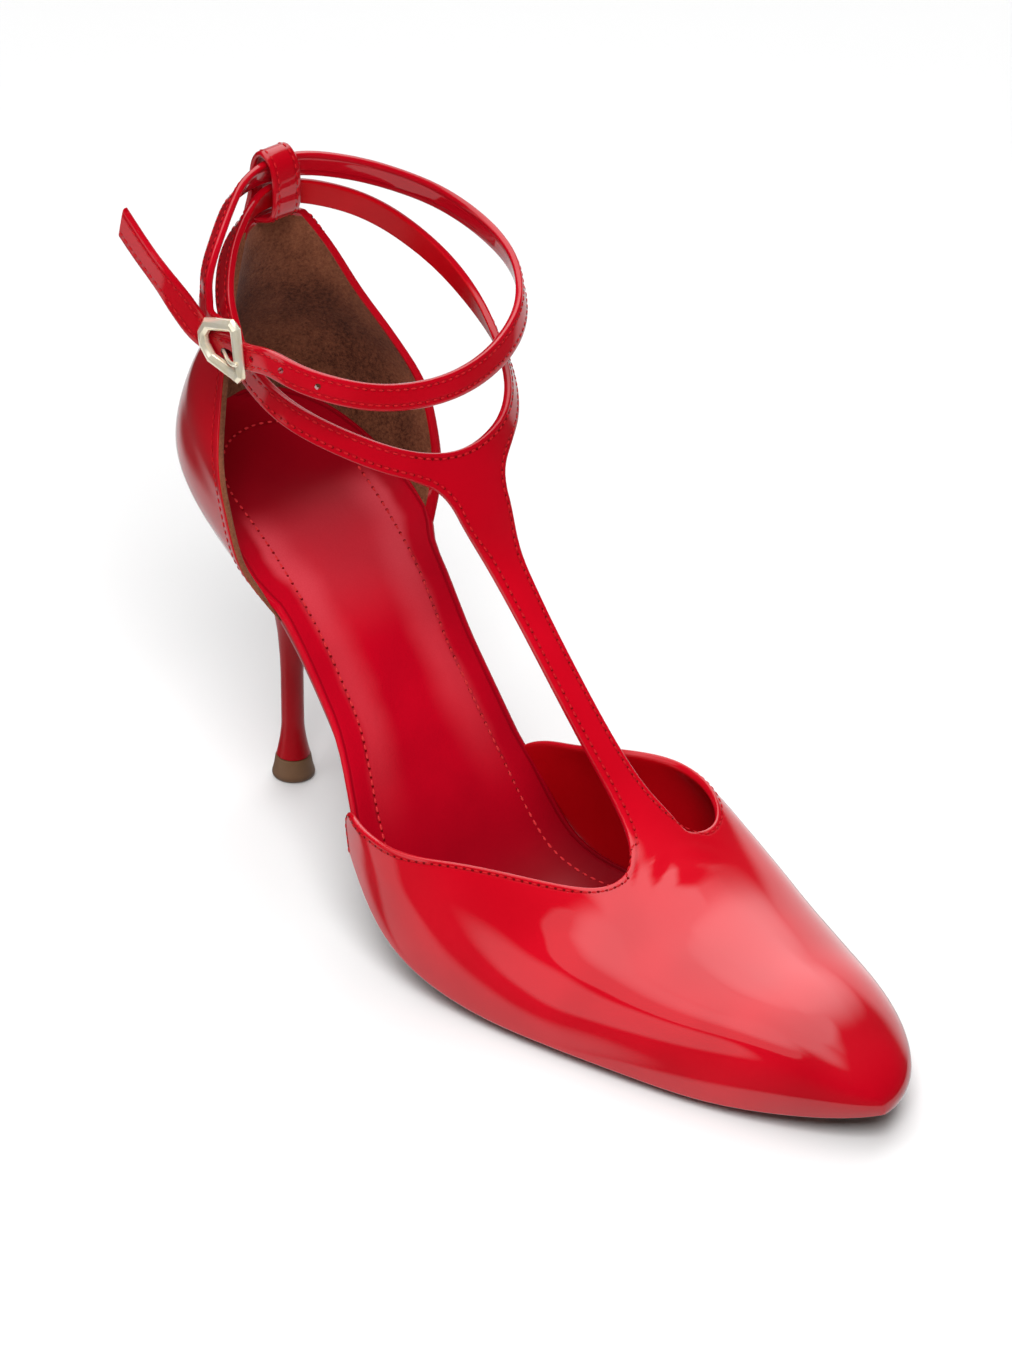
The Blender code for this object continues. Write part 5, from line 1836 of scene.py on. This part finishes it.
@dataclass(frozen=True)
class Ribbon:
    """Strap along a path with its width direction and outward normal."""

    path: Points
    width_dir: Points
    normal: Points
    width: float
    thick: Points

    def profile(self, thick: float) -> Points:
        """Rounded section as pairs of place across and height."""
        half = self.width / 2
        deep = thick / 2
        bend = min(0.55, 0.9 * deep)
        corners = []
        for across, up, start in ((1, 1, 0), (-1, 1, 90), (-1, -1, 180), (1, -1, 270)):
            for degrees in (8, 45, 82):
                angle = math.radians(start + degrees)
                corners.append((across * (half - bend) + bend * math.cos(angle),
                                up * (deep - bend) + bend * math.sin(angle)))
        crown = 0.05
        top = [(half * s, deep + crown * (1 - s * s)) for s in (0.45, 0.0, -0.45)]
        below = [(-a, -b) for a, b in top]
        return np.array(corners[:3] + top + corners[3:9] + below + corners[9:])

    def rings(self, slant: float = 0.0, reach: float = 9.0) -> list[Points]:
        """Rings of the strap, with rounded ends.

        Args:
            slant: How far the last end is cut aslant, across its half width.
            reach: Length over which the slant fades.

        Returns:
            The rings.
        """
        run = run_of(self.path)
        tangent = heading(self.path)
        out = []
        for i in range(len(self.path)):
            section = self.profile(self.thick[i])
            fade = max(0.0, 1 - (run[-1] - run[i]) / reach)
            lean = slant * fade * section[:, 0] / (self.width / 2)
            out.append(self.path[i] + section[:, :1] * self.width_dir[i] + section[:, 1:] * self.normal[i]
                       + lean[:, None] * tangent[i])
        for end in (0, -1):
            tip = out[end] * 0.8 + self.path[end] * 0.2
            out.insert(0 if end == 0 else len(out), tip + (out[end].mean(axis=0) - tip.mean(axis=0)))
        return out

    def rims(self) -> Points:
        """Both long edges on both faces."""
        deep = self.thick[:, None] / 2
        return np.concatenate([self.path + self.width_dir * a * self.width / 2 + self.normal * b * deep
                               for a in (-1, 1) for b in (-1, 1)])

    def row(self, axes: Axes, inset: float, side: float, first: int = 0, end: int | None = None) -> Row:
        """Line on the outward face at a distance from one long edge."""
        across = side * (self.width / 2 - inset)
        raised = self.path + self.width_dir * across + self.normal * (self.thick[:, None] / 2 + 0.05)
        lifts = axes.to_row(self.normal) - axes.to_row(np.zeros(3))
        return Row(axes.to_row(raised)[first:end], unit(lifts)[first:end])


@dataclass(frozen=True)
class BuckleForm:
    """Sizes and directions of the buckle."""

    pin: tuple[float, float, float] = (39.3, 34.0, 136.6)
    front: tuple[float, float, float] = (49.6, 36.4, 138.4)
    pin_half: float = 0.7
    pin_depth: float = 1.8
    front_half: float = 7.6
    back_half: float = 4.9
    back_lift: float = 2.95
    back_rise: float = 0.9
    bar_width: float = 2.7
    bar_thick: float = 2.2
    fold_thick: float = 1.0

    def axes(self) -> tuple[Points, Points, Points]:
        """Directions back along the strap, up the bars and outwards."""
        back = unit(np.array(self.pin) - np.array(self.front))
        up = square_to(np.array([-0.08, 0.0, 1.0]), back)
        out = np.cross(up, back)
        return back, up, out * np.sign(out[1])

    def at(self, base: tuple[float, float, float], back: float, up: float, out: float) -> Points:
        """Place at distances along the three directions from a base point."""
        ways = self.axes()
        return np.array(base) + ways[0] * back + ways[1] * up + ways[2] * out

    def prong_ends(self) -> tuple[Points, Points]:
        """Places where the prong leaves its eye and where its tip rests."""
        eye = self.at(self.pin, 0.0, -1.6, 0.7 - self.pin_depth)
        return eye, self.at(self.front, 0.0, -2.4, self.bar_thick / 2 + 0.4)


@dataclass
class Straps:
    """Ankle strap with its holes and the loop on the counter that both straps pass through."""

    last: Last
    axes: Axes
    buckle: BuckleForm
    width: float = 6.0
    thick: float = 1.7
    ankle_u: float = 50.0
    lean: float = 8.0
    flank_lean: float = 32.0
    ahead_lean: float = 12.0
    hole_pitch: float = 8.3
    hole_radius: float = 0.7
    holes: tuple[int, ...] = (-3, -2, -1, 1)
    inset: float = 1.3
    first_sewn: int = 34
    loop_width: float = 7.8
    loop_thick: float = 1.3
    counter_wall: float = 2.0
    ankle: tuple[Point, ...] = table_of(
        Point, (33.4, 31.4, 138.0), (30.9, 30.2, 142.4), (30.0, 29.2, 146.6), (29.0, 27.2, 150.2),
        (27.2, 24.0, 153.0), (24.2, 19.4, 155.5), (20.9, 13.8, 157.6), (18.9, 8.0, 158.6),
        (18.2, 0.0, 158.9), (19.4, -6.0, 158.6), (22.0, -12.6, 157.1), (26.0, -20.6, 154.2),
        (30.4, -26.8, 151.3), (36.0, -32.2, 148.1), (43.0, -35.6, 144.8), (50.5, -36.8, 141.8),
        (58.0, -35.8, 139.0), (65.0, -32.3, 136.0), (71.0, -26.6, 133.6), (75.6, -18.6, 131.6),
        (79.0, -9.0, 130.6), (80.2, 1.2, 130.3), (78.8, 11.0, 130.8), (75.0, 20.0, 132.2),
        (69.5, 27.0, 134.4), (63.0, 31.4, 136.4), (56.0, 33.6, 137.8))
    free_tip: tuple[Point, ...] = table_of(
        Point, (31.4, 39.5, 146.4), (23.8, 40.8, 152.8), (16.4, 41.5, 159.0))
    arch: tuple[tuple[float, float], ...] = (
        (20.9, 148.4), (22.3, 153.0), (22.2, 158.0), (20.6, 162.2), (17.6, 163.4), (15.2, 160.8),
        (14.2, 156.2), (13.4, 151.2))

    def _ankle_ribbon(self) -> tuple[Ribbon, Points]:
        """The ankle strap and the place inside the frame where the prong goes through it."""
        form = self.buckle
        back, up, out = form.axes()
        pin = form.at(form.pin, 0.0, 0.0, -form.pin_depth)
        turn = form.pin_half + 0.1 + form.fold_thick / 2
        fold = [pin + back * 4.6 + out * turn, pin + back * 2.2 + out * turn]
        for degrees in (90, 45, 0, -45, -90):
            angle = math.radians(degrees)
            fold.append(pin - back * turn * math.cos(angle) + out * turn * math.sin(angle))
        fold.append(pin + back * 2.4 - out * turn)
        under = form.at(form.front, 0.0, -1.6, -form.bar_thick / 2 - 0.25 - self.thick / 2)
        over = form.at(form.pin, 1.0, -0.4, 0.9)
        middle = (under + over) / 2
        path = curve_through(np.concatenate([fold, self.ankle, [under, middle, over], self.free_tip]), 430)
        tangent = heading(path)
        outward = away_from(path, self.ankle_u)
        flank = bump(path[:, 0], 22.0, 14.0) * held(path[:, 1] / 16.0)
        ahead = held((path[:, 0] - 50.0) / 25.0)
        lean = self.lean + self.flank_lean * flank + self.ahead_lean * ahead
        round_ankle, _ = band_frames(path, tangent, self.ankle_u, lean)
        rise = unit(-outward * math.tan(math.radians(self.lean)) + [0.0, 0.0, 1.0])
        free = square_to(rise, tangent)
        through = int(np.argmin(np.linalg.norm(path - middle, axis=1)))
        width = np.where(np.arange(len(path))[:, None] > through, free, round_ankle)
        ease = held((10.0 - np.linalg.norm(path - pin, axis=1)) / 6.0)[:, None]
        width = square_to(unit(width * (1 - ease) + up * ease), tangent)
        normal = np.cross(tangent, width)
        normal = normal * np.sign(np.median(np.sum(normal * outward, axis=1)))
        run = run_of(path)
        skived = held((run - 9.0) / 8.0)
        thick = form.fold_thick + (self.thick - form.fold_thick) * skived
        return Ribbon(path, width, normal, self.width, thick), middle

    def _tool(self, start: Points, end: Points, side: Points, wide: float, deep: float,
              finish: Material, count: int) -> Piece:
        """Bar to cut with, round or square by its count of sides."""
        axis = unit(end - start)
        side = square_to(side, axis)
        section = ring(count, side * wide, np.cross(axis, side) * deep, np.pi / count)
        return tube("tool", [start + section, end + section], self.axes, finish)

    def build(self, finishes: Finishes, sewing: Sewing) -> None:
        """Build the ankle strap, the loop and their stitches."""
        ribbon, middle = self._ankle_ribbon()
        strap = tube("ankle_strap_dressed", ribbon.rings(slant=2.0), self.axes, finishes.strap)
        run = run_of(ribbon.path)
        inside = run[int(np.argmin(np.linalg.norm(ribbon.path - middle, axis=1)))]
        up = self.buckle.axes()[1]
        tools = []
        for step in self.holes:
            near = int(np.argmin(np.abs(run - inside - step * self.hole_pitch)))
            reach = ribbon.normal[near] * 3.0
            tools.append(self._tool(ribbon.path[near] - reach, ribbon.path[near] + reach, up,
                                    self.hole_radius, self.hole_radius, finishes.lining, 20))
        top, rest = self.buckle.prong_ends()
        tools.append(self._tool(top, rest, up, 1.3, 1.1, finishes.lining, 12))
        cut_with(strap, tools)
        sharpen(strap, 50.0)
        mark_edge(strap, self.axes.to_row(ribbon.rims()))
        place(strap, Slot.PATENT, "ankle_strap")
        rows = [ribbon.row(self.axes, self.inset, side, self.first_sewn, -3) for side in (-1.0, 1.0)]
        sewing.seam("ankle_strap", rows, finishes, 9)
        self._loop(finishes, sewing)

    def _loop(self, finishes: Finishes, sewing: Sewing) -> None:
        """Build the loop."""
        rises = np.array([51.0, 55.0, 59.0])
        gap = self.last.fit_gap
        near = gap + self.loop_thick / 2
        hidden = np.array([55.0, 58.0])
        inner = self.last.cup_point(np.zeros(2), hidden, gap + self.counter_wall / 2)
        outer = self.last.cup_point(np.zeros(3), rises, gap + self.counter_wall) - [near + 0.2, 0.0, 0.0]
        arch = [(u, 0.0, height) for u, height in self.arch]
        path = curve_through(np.concatenate([inner, arch, outer[::-1]]), 110)
        width = np.repeat([[0.0, 1.0, 0.0]], len(path), axis=0)
        normal = np.cross(heading(path), width)
        normal = normal * np.sign(np.sum(normal * (path - path.mean(axis=0))))
        ribbon = Ribbon(path, width, normal, self.loop_width, np.full(len(path), self.loop_thick))
        loop = tube("heel_loop_dressed", ribbon.rings(), self.axes, finishes.strap)
        sharpen(loop, 50.0)
        mark_edge(loop, self.axes.to_row(ribbon.rims()))
        place(loop, Slot.PATENT, "heel_loop")
        rows = [ribbon.row(self.axes, self.inset, side) for side in (-1.0, 1.0)]
        sewing.sew("heel_loop_stitches", rows, SEAM, finishes.thread, Slot.PATENT, 11)


@dataclass
class Buckle:
    """Faceted frame with its pin, and the prong."""

    axes: Axes
    form: BuckleForm
    front_cut: float = 1.1
    back_cut: float = 2.2
    prong_half_width: float = 0.62
    prong_half_thick: float = 0.42

    def _frame_rings(self) -> list[Points]:
        """Eight-sided rings round the frame, with its corners cut off."""
        form = self.form
        out = form.axes()[2]
        bar = form.bar_width / 2
        high = form.front_half - bar
        low = form.back_half - bar
        corners = [form.at(form.front, 0.0, high, 0.0), form.at(form.front, 0.0, -high, 0.0),
                   form.at(form.pin, 0.5, form.back_rise - low, form.back_lift),
                   form.at(form.pin, 0.5, form.back_rise + low, form.back_lift)]
        path = []
        for i, spot in enumerate(corners):
            cut = self.front_cut if i < 2 else self.back_cut
            for other in (corners[i - 1], corners[(i + 1) % 4]):
                path.append(spot + unit(other - spot) * cut)
        centre = np.mean(path, axis=0)
        eighth = np.pi / 8
        stretch = 1.0 / math.cos(eighth)
        rings = []
        for i, spot in enumerate(path):
            ahead = unit(path[(i + 1) % len(path)] - spot)
            behind = unit(spot - path[i - 1])
            tangent = unit(ahead + behind)
            side = unit(np.cross(tangent, out))
            side = side * np.sign(np.dot(side, spot - centre)) / math.sqrt((1 + np.dot(ahead, behind)) / 2)
            lift = unit(np.cross(side, tangent))
            lift = lift * np.sign(np.dot(lift, out))
            rings.append(spot + ring(8, side * bar * stretch, lift * form.bar_thick / 2 * stretch, eighth))
        return rings

    def _pin_rings(self) -> list[Points]:
        """Rings of the pin, whose ends turn out into the frame."""
        form = self.form
        half = form.back_half - form.bar_width / 2
        deep = -form.pin_depth
        places = [(half, 2.0), (half, 0.2), (half - 0.6, deep), (0.0, deep), (0.6 - half, deep), (-half, 0.2),
                  (-half, 2.0)]
        line = curve_through([form.at(form.pin, 0.0, up, out) for up, out in places], 40)
        tangent = heading(line)
        side = square_to(form.axes()[0], tangent)
        return [p + form.pin_half * ring(12, a, b) for p, a, b in zip(line, side, np.cross(tangent, side))]

    def build(self, finishes: Finishes) -> None:
        """Build the frame and the prong."""
        draft = Draft("buckle_frame_dressed")
        rings = self._frame_rings()
        count = len(rings[0])
        start = draft.add(np.concatenate(rings + rings[:1]))
        draft.grid(start, len(rings) + 1, count, closed=True)
        frame = draft.make(self.axes, [finishes.gold])
        round_off = frame.modifiers.new("soft", "BEVEL")
        round_off.width = 0.16 * MM
        round_off.segments = 2
        round_off.limit_method = "ANGLE"
        round_off.angle_limit = math.radians(18.0)
        settle(frame)
        sharpen(frame, 32.0)
        pin = tube("pin", self._pin_rings(), self.axes, finishes.gold)
        both = bmesh.new()
        both.from_mesh(frame.data)
        both.from_mesh(pin.data)
        both.to_mesh(frame.data)
        both.free()
        bpy.data.objects.remove(pin)
        place(frame, Slot.BUCKLE, "buckle_frame")
        self._prong(finishes)

    def _prong(self, finishes: Finishes) -> None:
        """Build the prong, from the pin over the front bar."""
        back, up, out = self.form.axes()
        top, rest = self.form.prong_ends()
        points = [top + back * 0.6 - out * 0.4, top, top * 0.5 + rest * 0.5 + out * 0.5, rest + back * 1.6,
                  rest, rest - back * 1.3 - out * 0.35]
        line = curve_through(points, 70)
        tangent = heading(line)
        width = square_to(up, tangent)
        normal = np.cross(tangent, width)
        sizes = np.interp(np.arange(70), [0, 62, 68, 69], [1.0, 0.95, 0.75, 0.5])
        rings = [p + size * ring(12, w * self.prong_half_width, n * self.prong_half_thick)
                 for p, size, w, n in zip(line, sizes, width, normal)]
        prong = tube("buckle_prong_dressed", rings, self.axes, finishes.gold)
        place(prong, Slot.BUCKLE, "buckle_prong")


# Studio


class Lamp(NamedTuple):
    """Soft panel: place, what it faces, size and power."""

    name: str
    place: tuple[float, float, float]
    target: tuple[float, float, float]
    wide: float
    tall: float
    power: float


class Glow(NamedTuple):
    """Soft light of the room: its direction, the cosines where it starts and is full, and its level."""

    way: tuple[float, float, float]
    start: float
    full: float
    level: float


@dataclass
class Studio:
    """White floor, soft panels and the photo's camera."""

    azimuth: float = -41.17
    elevation: float = 32.12
    roll: float = 0.30
    distance: float = 1.430
    lens: float = 170.8
    target: tuple[float, float, float] = (0.0018, 0.0110, 0.0632)
    dusk: float = 0.02
    glows: tuple[Glow, ...] = table_of(
        Glow, ((-0.03, 0.16, 0.99), 0.845, 0.940, 2.05), ((0.30, 0.15, 0.94), 0.936, 0.966, 2.1),
        ((0.51, 0.45, 0.73), 0.860, 0.985, 2.7), ((0.85, 0.52, 0.05), 0.819, 0.940, 1.2),
        ((-0.62, 0.12, 0.78), 0.928, 0.940, 0.9), ((-0.45, 0.12, 0.885), 0.9135, 0.990, 2.2),
        ((-0.957, 0.203, 0.208), 0.955, 0.980, 1.0), ((-0.765, 0.441, -0.469), 0.940, 0.978, 0.8),
        ((0.25, 0.0, -0.97), 0.40, 0.48, 0.8))
    backdrop: float = 0.9
    floor_half: float = 4.0
    floor_level: float = -0.0002
    lamps: tuple[Lamp, ...] = (
        Lamp("overhead_panel", (-0.1, 0.5, 1.6), (0.0, 0.0, 0.05), 1.6, 1.6, 3.2),
        Lamp("front_panel", (-0.7, -0.9, 1.5), (0.0, 0.0, 0.06), 0.9, 0.9, 35.0),
    )

    def build(self, finishes: Finishes) -> None:
        """Set up floor, light and camera."""
        scene = bpy.context.scene
        sheet = bpy.data.meshes.new("floor")
        corners = [(x * self.floor_half, y * self.floor_half, self.floor_level)
                   for x, y in ((-1, -1), (1, -1), (1, 1), (-1, 1))]
        sheet.from_pydata(corners, [], [(0, 1, 2, 3)])
        sheet.materials.append(finishes.paper)
        floor = bpy.data.objects.new("floor", sheet)
        floor.visible_glossy = False
        scene.collection.objects.link(floor)
        world = bpy.data.worlds.new("room")
        world.use_nodes = True
        self._sky(world.node_tree)
        scene.world = world
        scene.view_settings.view_transform = "Standard"
        for lamp in self.lamps:
            light = bpy.data.lights.new(lamp.name, "AREA")
            light.shape = "RECTANGLE"
            light.size = lamp.wide
            light.size_y = lamp.tall
            light.energy = lamp.power
            panel = bpy.data.objects.new(lamp.name, light)
            panel.location = lamp.place
            aim = Vector(lamp.target) - Vector(lamp.place)
            panel.rotation_euler = aim.to_track_quat("-Z", "Y").to_euler()
            panel.visible_glossy = False
            scene.collection.objects.link(panel)
        self._camera(scene)

    def _sky(self, tree: bpy.types.NodeTree) -> None:
        """Dim room with soft glows, which the camera sees as a plain backdrop."""
        add = partial(add_node, tree)
        way = add("ShaderNodeTexCoord").outputs["Generated"]
        total: Any = self.dusk
        for glow in self.glows:
            facing = add("ShaderNodeVectorMath", {"operation": "DOT_PRODUCT"},
                         {0: way, 1: tuple(unit(glow.way))})
            share = add("ShaderNodeMapRange", {"interpolation_type": "SMOOTHSTEP"}, {
                "Value": facing.outputs["Value"], "From Min": glow.start, "From Max": glow.full,
                "To Min": 0.0, "To Max": glow.level})
            total = add("ShaderNodeMath", {"operation": "MAXIMUM"},
                        {0: share.outputs["Result"], 1: total}).outputs[0]
        seen = add("ShaderNodeLightPath").outputs["Is Camera Ray"]
        either = add("ShaderNodeMix", inputs={"Factor": seen, "A": total, "B": self.backdrop})
        back = next(node for node in tree.nodes if node.type == "BACKGROUND")
        tree.links.new(either.outputs["Result"], back.inputs["Color"])

    def _camera(self, scene: bpy.types.Scene) -> None:
        """Place the camera as in the photo."""
        azimuth = math.radians(self.azimuth)
        elevation = math.radians(self.elevation)
        back = Vector((math.sin(azimuth) * math.cos(elevation), -math.cos(azimuth) * math.cos(elevation),
                       math.sin(elevation)))
        lens = bpy.data.cameras.new("camera")
        lens.lens = self.lens
        lens.sensor_fit = "AUTO"
        lens.sensor_width = 36.0
        lens.clip_start = 0.05
        camera = bpy.data.objects.new("camera", lens)
        turn = back.to_track_quat("Z", "Y").to_matrix().to_4x4()
        spin = Matrix.Rotation(math.radians(self.roll), 4, "Z")
        camera.matrix_world = Matrix.Translation(Vector(self.target) + back * self.distance) @ turn @ spin
        scene.collection.objects.link(camera)
        scene.camera = camera


def main() -> None:
    """Build the shoe, its stitches and the studio."""
    logging.basicConfig(level=logging.INFO, format="%(name)s %(message)s")
    last = Last()
    axes = Axes.of_frame(Heel.centre_u)
    finishes = Finishes()
    sewing = Sewing()
    form = BuckleForm()
    Upper(last, axes).build(finishes, sewing)
    Counter(last, axes).build(finishes, sewing)
    Sole(last, axes).build(finishes, sewing)
    Heel(last, axes).build(finishes)
    Straps(last, axes, form).build(finishes, sewing)
    Buckle(axes, form).build(finishes)
    Studio().build(finishes)


if __name__ == "__main__":
    main()
